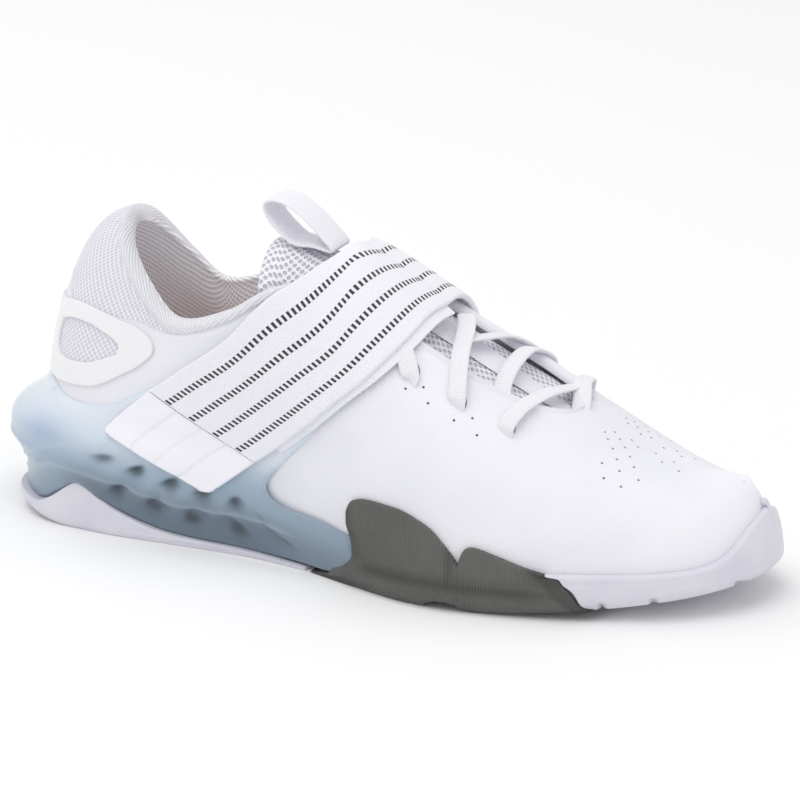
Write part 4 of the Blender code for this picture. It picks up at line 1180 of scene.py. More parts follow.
@dataclass
class SolePiece:
    """A moulded piece of the sole: its outer face between outlines seen from the side."""

    name: str
    rows: tuple
    top: tuple
    rear: tuple = ()
    front: tuple = ()
    columns: int = 120
    lines: int = 40
    round: float = 0.0007
    skin: float = 0.0001

    def relief(self, points: Array, level: Array) -> tuple[Array, dict]:
        """Extra lift of the outer face, and its marks."""
        return np.zeros(level.shape), {}

    def trim(self, rows: Array) -> Array:
        """Last change to the rows of one side; none on a plain piece."""
        return rows

    def patch(self, side: Side) -> tuple[Array, Array, Array]:
        """Stations, levels and edge drop of the outer face.

        Args:
            side: The outer or the inner side.

        Returns:
            Stations, levels and drops, one row for each line.
        """
        envelope = Envelope(self.rows)
        top = np.array([row[:2] for row in self.top], float)
        foot = np.array([row[2] for row in self.top], float)
        spots = np.stack(envelope.find(side, top[:, 0], top[:, 1] * FORM.collar_height), -1)
        seen = top * np.array([FORM.length, FORM.collar_height])
        knots = chord(seen)
        if top[0, 0] == HEEL:
            knots = np.concatenate([[-knots[1]], knots])
            spots = np.concatenate([[[-spots[1, 0], spots[1, 1]]], spots])
            foot = np.concatenate([[-foot[1]], foot])
        if top[-1, 0] == TOE:
            knots = np.concatenate([knots, [2.0 - knots[-2]]])
            spots = np.concatenate([spots, [[2 * LAST_ROW - spots[-2, 0], spots[-2, 1]]]])
            foot = np.concatenate([foot, [2.0 - foot[-2]]])
        run = np.linalg.norm(np.diff(seen, axis=0), axis=-1).sum()
        u, drop_u = self.spacing(self.columns, run, bool(self.rear), bool(self.front))
        upper = spline(knots, spots, u)
        under_x = spline(knots, foot, u)
        if top[0, 0] == HEEL:
            under_x[0] = HEEL
        if top[-1, 0] == TOE:
            under_x[-1] = TOE
        station, _ = envelope.find(side, under_x, FORM.ground(under_x * FORM.length))
        lower = np.stack([station, np.zeros_like(station)], -1)
        v, drop_v = self.spacing(self.lines, 0.022, True, True)
        sheet = lower + (upper - lower) * v[:, None, None]
        for end, table in ((0, self.rear), (-1, self.front)):
            if not table:
                continue
            rows = np.array(table, float)
            marks = np.stack(envelope.find(side, rows[:, 0], rows[:, 1] * FORM.collar_height), -1)
            line = spline(chord(rows * np.array([FORM.length, FORM.collar_height])), marks, v)
            gap = line - sheet[:, end]
            fade = (1.0 - u if end == 0 else u)**3
            sheet = sheet + gap[:, None] * fade[None, :, None]
        drop = np.maximum(drop_v[:, None], drop_u[None, :])
        return sheet[..., 0], sheet[..., 1], drop

    def spacing(self, count: int, size: float, start: bool, end: bool) -> tuple[Array, Array]:
        """Places from 0 to 1 and the drop of the rounded ends."""
        turn = np.radians([90.0, 62.0, 34.0, 12.0])
        near = self.round / size
        head = near * (1.0 - np.sin(turn)) if start else np.array([])
        tail = 1.0 - near * (1.0 - np.sin(turn[::-1])) if end else np.array([])
        fall = self.round * (1.0 - np.cos(turn))
        middle = np.linspace(near if start else 0.0, 1.0 - near if end else 1.0, count)
        places = np.concatenate([head, middle, tail])
        drops = np.concatenate([fall if start else [], np.zeros(count), fall[::-1] if end else []])
        return places, drops

    def half(self, side: Side) -> tuple[Array, dict[str, Array]]:
        """Rows of one side, from the middle of the underside round to the middle of the bed."""
        envelope = Envelope(self.rows)
        station, level, drop = self.patch(side)
        ring = ring_at(station, side)
        face = envelope.point(ring, level)
        lift, marks = self.relief(face, level)
        flare = envelope.flare(station, level)
        drop = np.minimum(drop, 0.8 * flare)
        outer = envelope.point(ring, level, drop - lift)
        top = level[-1]
        inner = []
        for part in (0.0, 0.33, 0.67, 1.0):
            height = np.where(top > 1.0, top + (1.0 - top) * part, top)
            inset = self.skin if part < 1 else -0.0002
            spot = envelope.point(ring_at(station[-1], side), height, offset=inset)
            inner.append(np.where((top > 1.0)[:, None], spot, outer[-1]))
        rows = self.trim(np.concatenate([outer, np.array(inner)]))
        blank = np.zeros((len(inner), rows.shape[1]))
        marks = {key: np.concatenate([value, blank]) for key, value in marks.items()}
        return rows, marks

    def build(self, finish: bpy.types.Material, slot: str, *nodes: str) -> bpy.types.Object:
        """Make both sides and close them under the foot and over the floor."""
        halves = [self.half(side) for side in Side]
        under = 0.5 * (halves[0][0][0] + halves[1][0][0])
        over = 0.5 * (halves[0][0][-1] + halves[1][0][-1])
        sheets = []
        for rows, marks in halves:
            closed = np.concatenate([under[None], rows, over[None]])
            padded = {}
            for key, value in marks.items():
                padded[key] = np.concatenate([value[:1], value, value[-1:]])
            sheets.append(Sheet(closed, padded))
        piece = make_piece(self.name, sheets, [finish], fill=True)
        settle(piece, slot, *nodes)
        return piece


# Edge between heel tread and cage, seen from the side: x in lengths, height in collar heights
HEEL_TREAD_EDGE = (
    # x, height
    (0.000, 0.072), (0.030, 0.072), (0.050, 0.066), (0.067, 0.064), (0.085, 0.082),
    (0.101, 0.110), (0.118, 0.143), (0.130, 0.158), (0.145, 0.145), (0.160, 0.121),
    (0.194, 0.080), (0.235, 0.046), (0.282, 0.030), (0.325, 0.025), (0.380, 0.020),
)

# Outline of the cage seen from the side, from the heel's middle over film and arms to the front,
# then back along the heel tread
CAGE_EDGE = (
    # x, height
    (0.000, 0.455), (0.080, 0.449), (0.096, 0.430), (0.121, 0.418), (0.142, 0.418),
    (0.170, 0.431), (0.193, 0.455), (0.234, 0.513), (0.287, 0.603), (0.340, 0.710),
    (0.393, 0.812), (0.440, 0.820), (0.482, 0.700), (0.4935, 0.576), (0.4645, 0.4896),
    (0.4407, 0.4173), (0.4172, 0.3499), (0.3940, 0.2794), (0.3894, 0.2577), (0.3918, 0.2327),
    (0.4004, 0.2107), (0.4188, 0.1939), (0.4404, 0.1861), (0.4700, 0.1781), (0.4999, 0.1613),
    (0.5147, 0.1476), (0.5179, 0.1136), (0.5192, 0.0876), (0.5139, 0.0600), (0.5060, 0.0400),
    (0.4960, 0.0255), (0.4780, 0.0165), (0.4400, 0.0180),
) + HEEL_TREAD_EDGE[::-1]

# Dents of the cage's side: place, half length and half height, turn in degrees, depth
DENTS = (
    # x, height, half length, half height, turn, depth
    (0.172, 0.262, 0.024, 0.026, 8.0, 0.0020),
    (0.2168, 0.2345, 0.018, 0.030, 24.0, 0.0026),
    (0.2614, 0.2065, 0.018, 0.032, 30.0, 0.0028),
    (0.3040, 0.1880, 0.017, 0.032, 24.0, 0.0026),
    (0.3471, 0.1740, 0.013, 0.034, 50.0, 0.0024),
    (0.3863, 0.1333, 0.016, 0.018, -40.0, 0.0008),
    (0.1900, 0.1590, 0.018, 0.034, 34.0, 0.0024),
    (0.2382, 0.1235, 0.016, 0.042, 44.0, 0.0028),
    (0.2890, 0.0990, 0.015, 0.044, 80.0, 0.0028),
    (0.3477, 0.0850, 0.020, 0.036, -36.0, 0.0024),
    (0.4097, 0.0800, 0.026, 0.016, -26.0, 0.0012),
)

# Crests between the rows of dents: x and height along each
CRESTS = (
    ((0.030, 0.130), (0.098, 0.2186), (0.134, 0.2082), (0.170, 0.1936), (0.203, 0.1794),
     (0.223, 0.162), (0.249, 0.140), (0.282, 0.1353), (0.322, 0.1339), (0.363, 0.1388),
     (0.390, 0.1285), (0.426, 0.1104), (0.454, 0.0869), (0.485, 0.0769)),
    ((0.014, 0.151), (0.0906, 0.269), (0.1133, 0.2874), (0.1422, 0.2904), (0.1703, 0.3056),
     (0.200, 0.345)),
)


@dataclass
class HeelCage:
    """Heel cage: film and arms over the upper, a flared lobe behind, dents along its sides."""

    name: str = "cage_shell"
    reach: float = 7.3
    columns: int = 500
    levels: tuple = (0.0, 1.94, 150)
    round: float = 0.0009
    skin: float = 0.0001

    def outline(self, envelope: Envelope, side: Side) -> Array:
        """Outline of one side on the cage's own face.

        Args:
            envelope: The cage's face.
            side: The outer or the inner side.

        Returns:
            Signed stations and levels along the outline.
        """
        rows = np.array(CAGE_EDGE, float)
        station, level = envelope.find(side, rows[:, 0], rows[:, 1] * FORM.collar_height)
        knots = chord(rows * np.array([FORM.length, FORM.collar_height]))
        line = spline(knots, np.stack([station, level], -1), np.linspace(0, 1, 900))
        line[[0, -1], 0] = 0.0
        line[:, 0] = np.maximum(line[:, 0], 0.0) * side
        return line

    def build(self, finish: bpy.types.Material) -> bpy.types.Object:
        """Make one shell round the heel from both sides' outlines."""
        envelope = Envelope(CAGE_LEVELS)
        edge = np.concatenate([self.outline(envelope, Side.OUTER),
                               self.outline(envelope, Side.INNER)[::-1]])
        line = np.linspace(-self.reach, self.reach, self.columns)
        run, level = np.meshgrid(line, np.linspace(*self.levels))
        inside = self.covered(edge, run, level)
        cell = (inside[1:, 1:] & inside[:-1, 1:] & inside[1:, :-1] & inside[:-1, :-1])
        used = self.corners(cell, np.logical_or)
        rim = used & ~self.corners(cell, np.logical_and)
        seen = self.face(envelope, edge[:, 0], edge[:, 1], 0.0)
        spots = self.face(envelope, run, level, 0.0)
        away, nearest = self.nearest(seen, spots, used)
        run, level = np.where(rim, edge[nearest, 0], run), np.where(rim, edge[nearest, 1], level)
        away = np.where(rim, 0.0, away)
        flare = envelope.flare(np.abs(run), level)
        near = np.clip(1.0 - away / self.round, 0.0, 1.0)
        deep = np.minimum(self.round, 0.8 * flare)
        deep += (0.95 * flare - deep) * smoothstep((level - 1.06) / 0.08)
        drop = deep * (1.0 - np.sqrt(1.0 - near**2))
        bare = self.face(envelope, run, level, 0.0)
        lift, marks = self.relief(bare, level)
        lift = np.maximum(lift, -0.6 * flare)
        fade = smoothstep(away / 0.0015)
        outer = self.face(envelope, run, level, drop - lift * fade)
        ring = np.where(run < 0, 2 * LAST_ROW + run, run)
        inner = envelope.point(ring, level, offset=np.full(level.shape, self.skin))
        inner = np.where(rim[..., None], outer, inner)
        left_out = np.where(cell, 0, LEFT_OUT)
        blank = {key: 0 * value for key, value in marks.items()}
        sheets = [Sheet(outer, marks, left_out), Sheet(inner, blank, left_out)]
        piece = make_piece(self.name, sheets, [finish])
        settle(piece, "cage_plastic", "heel_cage")
        return piece

    def face(self, envelope: Envelope, run: Array, level: Array, drop: Array | float) -> Array:
        """Points of the outer face at signed stations."""
        ring = np.where(run < 0, 2 * LAST_ROW + run, run)
        return envelope.point(ring, level, drop)

    def covered(self, edge: Array, run: Array, level: Array) -> Array:
        """Whether places lie inside the outline.

        Args:
            edge: Closed outline as signed stations and levels.
            run: Signed stations of the places.
            level: Levels of the places.

        Returns:
            True inside.
        """
        inside = np.zeros(run.shape, bool)
        for (x0, y0), (x1, y1) in zip(edge, np.roll(edge, -1, axis=0)):
            spans = (y0 > level) != (y1 > level)
            if y0 != y1:
                inside ^= spans & (run < x0 + (x1 - x0) * (level - y0) / (y1 - y0))
        return inside

    def corners(self, cell: Array, join: Callable) -> Array:
        """For each corner, any or all of the cells round it."""
        wide = np.pad(cell, 1)
        return join(join(wide[1:, 1:], wide[:-1, 1:]), join(wide[1:, :-1], wide[:-1, :-1]))

    def nearest(self, edge: Array, spots: Array, used: Array) -> tuple[Array, Array]:
        """Nearest place of the outline to each point of the grid.

        Args:
            edge: Points of the outline.
            spots: Points of the grid.
            used: Points that are asked for.

        Returns:
            Distance, and number of the nearest place.
        """
        tree = KDTree(len(edge))
        for number, place in enumerate(edge):
            tree.insert(place, number)
        tree.balance()
        away, number = np.zeros(used.shape), np.zeros(used.shape, int)
        for row, column in np.argwhere(used):
            _, number[row, column], away[row, column] = tree.find(spots[row, column])
        return away, number

    def relief(self, points: Array, level: Array) -> tuple[Array, dict]:
        """Press in the dents and raise the crests between them; mark painted shade in the dents and
        below the low crest, and a painted highlight on the crests.
        """
        x, z = points[..., 0] / FORM.length, points[..., 2] / FORM.collar_height
        tall = FORM.collar_height / FORM.length
        dent, dark = np.zeros(x.shape), np.zeros(x.shape)
        for at_x, at_z, long, high, turn, deep in DENTS:
            c, s = math.cos(math.radians(turn)), math.sin(math.radians(turn))
            dx, dz = x - at_x, (z - at_z) * tall
            along, across = dx * c + dz * s, -dx * s + dz * c
            squeeze = np.where(across > 0, 0.62, 1.15) * high * tall
            away = (along / long)**2 + (across / squeeze)**2
            dent += 1.25 * deep * np.exp(-away)
            # Painted shade in each dent, set towards its upper side
            core = (along / (0.75 * long))**2 + ((across - 0.2 * high * tall) / (0.8 * squeeze))**2
            dark = np.maximum(dark, np.exp(-core) * min(1.0, deep / 0.0026))
        # Crests are raised and also marked for a painted highlight
        crest = np.zeros(x.shape)
        for line in CRESTS:
            away = distance_to(line, x, z * tall, tall)
            crest = np.maximum(crest, np.exp(-away / 0.0035))
        fade = 1.0 - smoothstep((x - 0.40) / 0.05)
        lift = 0.0009 * crest * fade - dent
        glow = np.exp(-((x - 0.085) / 0.035)**2 - ((z - 0.315) / 0.05)**2)
        film = smoothstep((level - 1.10) / 0.12)
        ridge = np.interp(x, [row[0] for row in CRESTS[0]], [row[1] for row in CRESTS[0]])
        shade = smoothstep((x - 0.09) / 0.07) * smoothstep((ridge + 0.05 - z) / 0.07)
        shade = shade * (1.0 - 0.7 * smoothstep((x - 0.36) / 0.10))
        return lift, {"dent": dark, "crest": crest * fade, "glow": glow, "film": film,
                      "shade": shade}


def distance_to(line: Sequence, x: Array, y: Array, tall: float) -> Array:
    """Distance from points to a line seen from the side.

    Args:
        line: Places of the line, x in lengths and height in collar heights.
        x: Lengths of the points.
        y: Heights of the points, in lengths.
        tall: Collar height in lengths.

    Returns:
        Distances in lengths.
    """
    best = np.full(x.shape, 9.0)
    for (x0, z0), (x1, z1) in zip(line, line[1:]):
        run_x, run_y = x1 - x0, (z1 - z0) * tall
        part = ((x - x0) * run_x + (y - z0 * tall) * run_y) / (run_x**2 + run_y**2)
        part = np.clip(part, 0.0, 1.0)
        away = np.hypot(x - x0 - part * run_x, y - z0 * tall - part * run_y)
        best = np.minimum(best, away)
    return best


HEEL_TREAD_TOP = tuple((x, height, x) for x, height in HEEL_TREAD_EDGE) + (
    (0.446, 0.0115, 0.446),)
HEEL_TREAD_FRONT = ((0.446, 0.0005), (0.446, 0.0115))
WRAP_REAR = (
    # x, height, from the floor up
    (0.452, 0.000), (0.478, 0.010), (0.498, 0.022), (0.508, 0.038), (0.5155, 0.059),
    (0.5205, 0.088), (0.5195, 0.114), (0.5160, 0.149), (0.508, 0.200), (0.5072, 0.2456),
)
WRAP_TOP = (
    # x, height, foot x
    (0.5072, 0.2456, 0.452), (0.5128, 0.2748, 0.492), (0.5268, 0.2891, 0.512),
    (0.5567, 0.2905, 0.550), (0.5845, 0.2832, 0.582), (0.6115, 0.2581, 0.611),
    (0.6260, 0.2360, 0.626), (0.6400, 0.2020, 0.640), (0.6519, 0.1690, 0.651),
    (0.6601, 0.1435, 0.6595), (0.6625, 0.1700, 0.6650), (0.6680, 0.1980, 0.6710),
    (0.6800, 0.2020, 0.6820), (0.7109, 0.1786, 0.7150), (0.7400, 0.1530, 0.7500),
    (0.7618, 0.1382, 0.8190),
)
WRAP_FRONT = (
    # x, height, from the floor up
    (0.819, 0.030), (0.8051, 0.0454), (0.7951, 0.0900), (0.7822, 0.1156), (0.7618, 0.1382),
)
FORE_TREAD_REAR = (
    # x, height, from the floor up
    (0.820, 0.030), (0.8061, 0.0454), (0.7961, 0.0900), (0.7832, 0.1156), (0.7630, 0.1390),
)
FORE_TREAD_TOP = (
    # x, height, foot x
    (0.7630, 0.1390, 0.820), (0.800, 0.1430, 0.845), (0.8318, 0.1465, 0.865),
    (0.8742, 0.1485, 0.895), (0.9178, 0.1560, 0.925), (0.9392, 0.1690, 0.942),
    (0.9520, 0.1900, 0.953), (0.9607, 0.2260, 0.962), (0.9680, 0.2680, 0.970),
    (0.9730, 0.3000, 0.978), (1.000, 0.3260, 1.000),
)


@dataclass
class Wrap(SolePiece):
    """Dark rubber round the ball: a channel over a bulging lower lip."""

    name: str = "ball_wrap"
    rows: tuple = WRAP_LEVELS
    top: tuple = WRAP_TOP
    rear: tuple = WRAP_REAR
    front: tuple = WRAP_FRONT
    columns: int = 200
    lines: int = 48
    notch_at: float = 0.645
    notch_half: float = 0.024
    notch_high: float = 0.0032

    def relief(self, points: Array, level: Array) -> tuple[Array, dict]:
        """Sink the channel that runs down and forward from the rear edge; mark painted shade in it
        and in the flex crease, and a darker band along the front edge.
        """
        x, z = points[..., 0] / FORM.length, points[..., 2] / FORM.collar_height
        deep = np.exp(-((z - 0.080) / 0.019)**2) * smoothstep((0.79 - x) / 0.06)
        deep = deep * smoothstep((x - 0.52) / 0.03)
        lip = np.exp(-((z - 0.040) / 0.022)**2)
        crease = np.exp(-((x - 0.650) / 0.006)**2) * smoothstep((z - 0.06) / 0.08)
        lift = -0.0010 * deep + 0.0005 * lip - 0.0008 * crease
        edge = smoothstep((0.012 - (0.815 - 0.42 * z - x)) / 0.010)
        return lift, {"channel": np.clip(0.8 * deep + 0.5 * crease + 0.6 * edge, 0, 1)}

    def trim(self, rows: Array) -> Array:
        """Raise the underside over the arched flex groove."""
        away = (rows[..., 0] / FORM.length - self.notch_at) / self.notch_half
        arch = self.notch_high * np.sqrt(np.clip(1.0 - away**2, 0.0, 1.0))
        rows[..., 2] = np.maximum(rows[..., 2], arch)
        return rows


@dataclass
class ForeTread(SolePiece):
    """Pale rubber tread of the toe, rising to the bumper, with flex grooves in its side."""

    name: str = "toe_tread"
    rows: tuple = FORE_TREAD_LEVELS
    top: tuple = FORE_TREAD_TOP
    rear: tuple = FORE_TREAD_REAR
    columns: int = 200
    grooves: tuple = (0.827, 0.882, 0.962)

    def relief(self, points: Array, level: Array) -> tuple[Array, dict]:
        """Notch the lower edge where the flex grooves run out, and mark painted shade in the
        notches.
        """
        x = points[..., 0] / FORM.length
        low = 1.0 - smoothstep((level - 0.10) / 0.28)
        notch = np.zeros(x.shape)
        for at in self.grooves:
            notch = np.maximum(notch, np.exp(-((x - at) / 0.0035)**2))
        return -0.0022 * notch * low, {"channel": 0.5 * notch * low}


@dataclass
class HeelTread(SolePiece):
    """Pale rubber heel tread with a step over its lower band."""

    name: str = "heel_tread"
    rows: tuple = HEEL_TREAD_LEVELS
    top: tuple = HEEL_TREAD_TOP
    front: tuple = HEEL_TREAD_FRONT
    columns: int = 160
    lines: int = 18

    def relief(self, points: Array, level: Array) -> tuple[Array, dict]:
        """Draw the face back a little above the lower band."""
        z = points[..., 2] / FORM.collar_height
        ground = FORM.ground(points[..., 0]) / FORM.collar_height
        step = smoothstep((z - ground - 0.020) / 0.006)
        return -0.0005 * step, {}


# Film of the heel counter, round each side from the middle of the heel
COUNTER_EDGE = (
    # x, height
    (0.000, 0.706), (0.086, 0.7135), (0.120, 0.7269), (0.1454, 0.7177), (0.1774, 0.7005),
    (0.2039, 0.6863), (0.2218, 0.6619), (0.2299, 0.6337), (0.2280, 0.6078), (0.2116, 0.5672),
    (0.1972, 0.5429), (0.1685, 0.4991), (0.1423, 0.4738), (0.1082, 0.4654), (0.0778, 0.4615),
    (0.000, 0.461),
)
COUNTER_WINDOW = (
    # x, height
    (0.0909, 0.6543), (0.1077, 0.6698), (0.1344, 0.6692), (0.1500, 0.6580), (0.1659, 0.6432),
    (0.1800, 0.6210), (0.1782, 0.5952), (0.1659, 0.5774), (0.1400, 0.5513), (0.1161, 0.5429),
    (0.0900, 0.5450), (0.0840, 0.5700), (0.0850, 0.6200),
)


@dataclass
class Counter:
    """Heel counter: a welded film round the heel with a window on each side."""

    step: float = 0.0011
    columns: int = 160

    def side(self, side: Side) -> Sheet:
        """One side, from the window's edge out to the film's edge."""
        outer = self.trace(side, COUNTER_EDGE, False)
        inner = self.trace(side, COUNTER_WINDOW, True)
        v = np.concatenate([[0, 0, 0.01, 0.03, 0.07], np.linspace(0.12, 0.92, 14),
                            [0.965, 0.985, 0.995, 1.0, 1.0]])
        lift = np.concatenate([[-0.0003, 0.15, 0.55, 0.85, 0.97], np.ones(14),
                               [0.97, 0.82, 0.5, 0.15, -0.0003]])
        lift = np.where(np.abs(lift) < 0.001, -0.3, lift) * self.step
        spots = inner + (outer - inner) * v[:, None, None]
        ring = ring_at(spots[..., 0], side)
        level = spots[..., 1]
        rise = np.broadcast_to(lift[:, None], level.shape).copy()
        at_heel = spots[..., 0] < 0.02
        rise = np.where(at_heel & (v[:, None] > 0.5), self.step, rise)
        points = FORM.point(ring, level) + rise[..., None] * FORM.normal(ring, level)
        line = np.broadcast_to((np.exp(-(v * 40)**2) + np.exp(-((1 - v) * 50)**2))[:, None],
                               level.shape)
        line = np.where(at_heel, 0.0, line) * 0.8
        return Sheet(points, {"line": line})

    def trace(self, side: Side, table: Sequence, closed: bool) -> Array:
        """Stations and shares along an outline, by angle about the window's middle."""
        rows = np.array(table, float)
        station, level = BARE.find(side, rows[:, 0], rows[:, 1] * FORM.collar_height)
        spots = np.stack([station, level - 1.0], -1)
        if closed:
            spots = np.concatenate([spots, spots[:1]])
            rows = np.concatenate([rows, rows[:1]])
        knots = chord(rows * np.array([FORM.length, FORM.collar_height]))
        line = spline(knots, spots, np.linspace(0, 1, 600))
        line[:, 0] = np.maximum(line[:, 0], 0.0)
        if not closed:
            heel = np.linspace(line[-1], line[0], 120)
            line = np.concatenate([line, heel[1:]])
        middle = np.array([1.9, 0.44])
        angle = np.unwrap(np.arctan2(line[:, 1] - middle[1], (line[:, 0] - middle[0]) * 0.25))
        if angle[-1] < angle[0]:
            angle, line = angle[::-1], line[::-1]
        want = np.linspace(-math.pi, math.pi, self.columns)
        turn = np.mod(want - angle[0], 2 * math.pi) + angle[0]
        return np.stack([np.interp(turn, angle, line[:, k]) for k in (0, 1)], -1)

    def build(self, finishes: Finishes) -> bpy.types.Object:
        """Make both sides of the film."""
        piece = make_piece("counter_film", [self.side(side) for side in Side], [finishes.film])
        settle(piece, "counter_film", "heel_counter")
        return piece


def drape_tree(envelope: Envelope) -> BVHTree:
    """Surface for laying bands over an envelope, carried on over the whole form.

    Args:
        envelope: The face below the bands.

    Returns:
        The surface as a tree of faces.
    """
    ring = np.arange(0, 2 * LAST_ROW, 1 / 8)
    level = np.concatenate([np.linspace(0, 1, 25), np.linspace(1, 2, 70)[1:]])
    rings, levels = np.meshgrid(ring, level)
    points = envelope.point(rings, levels)
    count = len(ring)
    faces = []
    for row in range(len(level) - 1):
        for column in range(count):
            after = (column + 1) % count
            low, high = row * count, (row + 1) * count
            faces.append((low + column, low + after, high + after, high + column))
    half = count // 2
    last = (len(level) - 1) * count
    for left in range(half):
        corners = [left, left + 1, (count - left - 1) % count, (count - left) % count]
        faces.append([last + corner for corner in dict.fromkeys(corners)])
    return BVHTree.FromPolygons([tuple(point) for point in points.reshape(-1, 3)], faces)


def drape(tree: BVHTree, x: float, angle: float, lift: float) -> Array:
    """Point over a surface.

    Args:
        tree: The surface.
        x: Length from the heel, in metres.
        angle: Angle from the top in degrees, outer side negative.
        lift: Height over the surface, in metres.

    Returns:
        The point on the form's own axes.
    """
    heart = Vector((x, *HEART))
    turn = math.radians(angle)
    way = Vector((0.0, -math.sin(turn), math.cos(turn)))
    place, normal, _, _ = tree.ray_cast(heart + way * FORM.length, -way)
    if place is None:
        place, normal, _, _ = tree.find_nearest(heart + way * FORM.ball_width)
    if normal.dot(way) < 0:
        normal = -normal
    return np.array(place) + lift * np.array(normal)


HOLLOW = 0.0016


def hollow(x: float, angle: float) -> float:
    """How far tongue and laces lie below the form's crown in front of the strap.

    Args:
        x: Length from the heel, in metres.
        angle: Angle from the top, in degrees.

    Returns:
        The depth in metres.
    """
    along = smoothstep(np.array((x / FORM.length - 0.50) / 0.07))
    along = along * (1.0 - smoothstep(np.array((x / FORM.length - 0.68) / 0.09)))
    return HOLLOW * float(along) * max(0.0, 1.0 - (angle / 40.0)**2)


def shares_across(count: int) -> Array:
    """Shares across a band, closer at its rounded edges."""
    return np.concatenate([[0, 0.004, 0.010, 0.018], np.linspace(0.03, 0.97, count),
                           [0.982, 0.990, 0.996, 1.0]])


def grid_normal(feet: Array) -> Array:
    """Normals of a grid over the shoe.

    Args:
        feet: Points, steps along by places across.

    Returns:
        Normals that point up and away from the shoe's middle.
    """
    normal = unit(np.cross(np.gradient(feet, axis=1), np.gradient(feet, axis=0)))
    outward = normal[..., 2] + normal[..., 1] * np.sign(feet[..., 1] + 1e-9)
    return normal if np.median(outward) >= 0 else -normal


def grid_over(tree: BVHTree, rows: Array, parts: Array) -> tuple[Array, Array]:
    """Foot points and normals of a band: one row of the route for each step.

    Args:
        tree: Surface below the band.
        rows: Rear angle, rear x, front angle and front x, in degrees and metres.
        parts: Shares across the band.

    Returns:
        Points on the surface and outward normals.
    """
    feet = np.empty((len(rows), len(parts), 3))
    for i, (rear_turn, rear, front_turn, front) in enumerate(rows):
        for j, part in enumerate(parts):
            feet[i, j] = drape(tree, rear + (front - rear) * part,
                               rear_turn + (front_turn - rear_turn) * part, 0.0)
    return feet, grid_normal(feet)


def band_sheet(feet: Array, normal: Array, lift: float, thick: float, parts: Array,
               edge: float = 0.0008) -> Sheet:
    """Closed flat band: upper face, rounded edges and under face.

    Args:
        feet: Points on the surface below, steps along by places across.
        normal: Outward normals.
        lift: Gap to the surface.
        thick: Thickness.
        parts: Shares across, as of the points.
        edge: Width of the rounded edge.

    Returns:
        The band as a closed strip, mapped in metres along and shares across.
    """
    width = np.linalg.norm(feet[:, -1] - feet[:, 0], axis=-1).mean()
    near = np.minimum(parts, 1.0 - parts) * width
    fall = edge - np.sqrt(np.maximum(edge**2 - np.maximum(edge - near, 0.0)**2, 0.0))
    fall = np.minimum(fall, 0.5 * thick)
    over = feet + normal * (lift + thick - fall)[None, :, None]
    below = feet + normal * (lift + fall)[None, :, None]
    rows = np.concatenate([over, below[:, ::-1], over[:, :1]], axis=1).transpose(1, 0, 2)
    run = np.linalg.norm(np.diff(feet[:, len(parts) // 2], axis=0), axis=-1)
    u = np.concatenate([[0.0], np.cumsum(run)])
    v = np.concatenate([parts, parts[::-1], parts[:1]])
    chart = np.stack(np.broadcast_arrays(u[None, :], v[:, None]), -1)
    face = np.concatenate([np.ones(len(parts)), np.zeros(len(parts)), [0.0]])
    return Sheet(rows, {"face": np.broadcast_to(face[:, None], rows.shape[:2]).copy()},
                 flat_map=chart)


STRAP_ROUTE = (
    # rear angle, rear x, front angle, front x
    (-56.6, 0.233, -85.0, 0.380),
    (-46.0, 0.278, -69.8, 0.428),
    (-34.5, 0.345, -55.0, 0.478),
    (-24.0, 0.400, -42.0, 0.524),
    (-12.0, 0.436, -27.0, 0.552),
    (0.5, 0.460, -8.0, 0.563),
    (15.0, 0.470, 12.0, 0.568),
    (35.0, 0.478, 33.0, 0.574),
    (54.0, 0.484, 54.0, 0.582),
    (70.0, 0.488, 70.0, 0.600),
    (82.0, 0.490, 82.0, 0.604),
)
TAB_ROUTE = (
    # rear angle, rear x, front angle, front x
    (-82.0, 0.172, -105.5, 0.317),
    (-69.3, 0.197, -95.6, 0.349),
    (-57.1, 0.2315, -85.5, 0.3785),
)


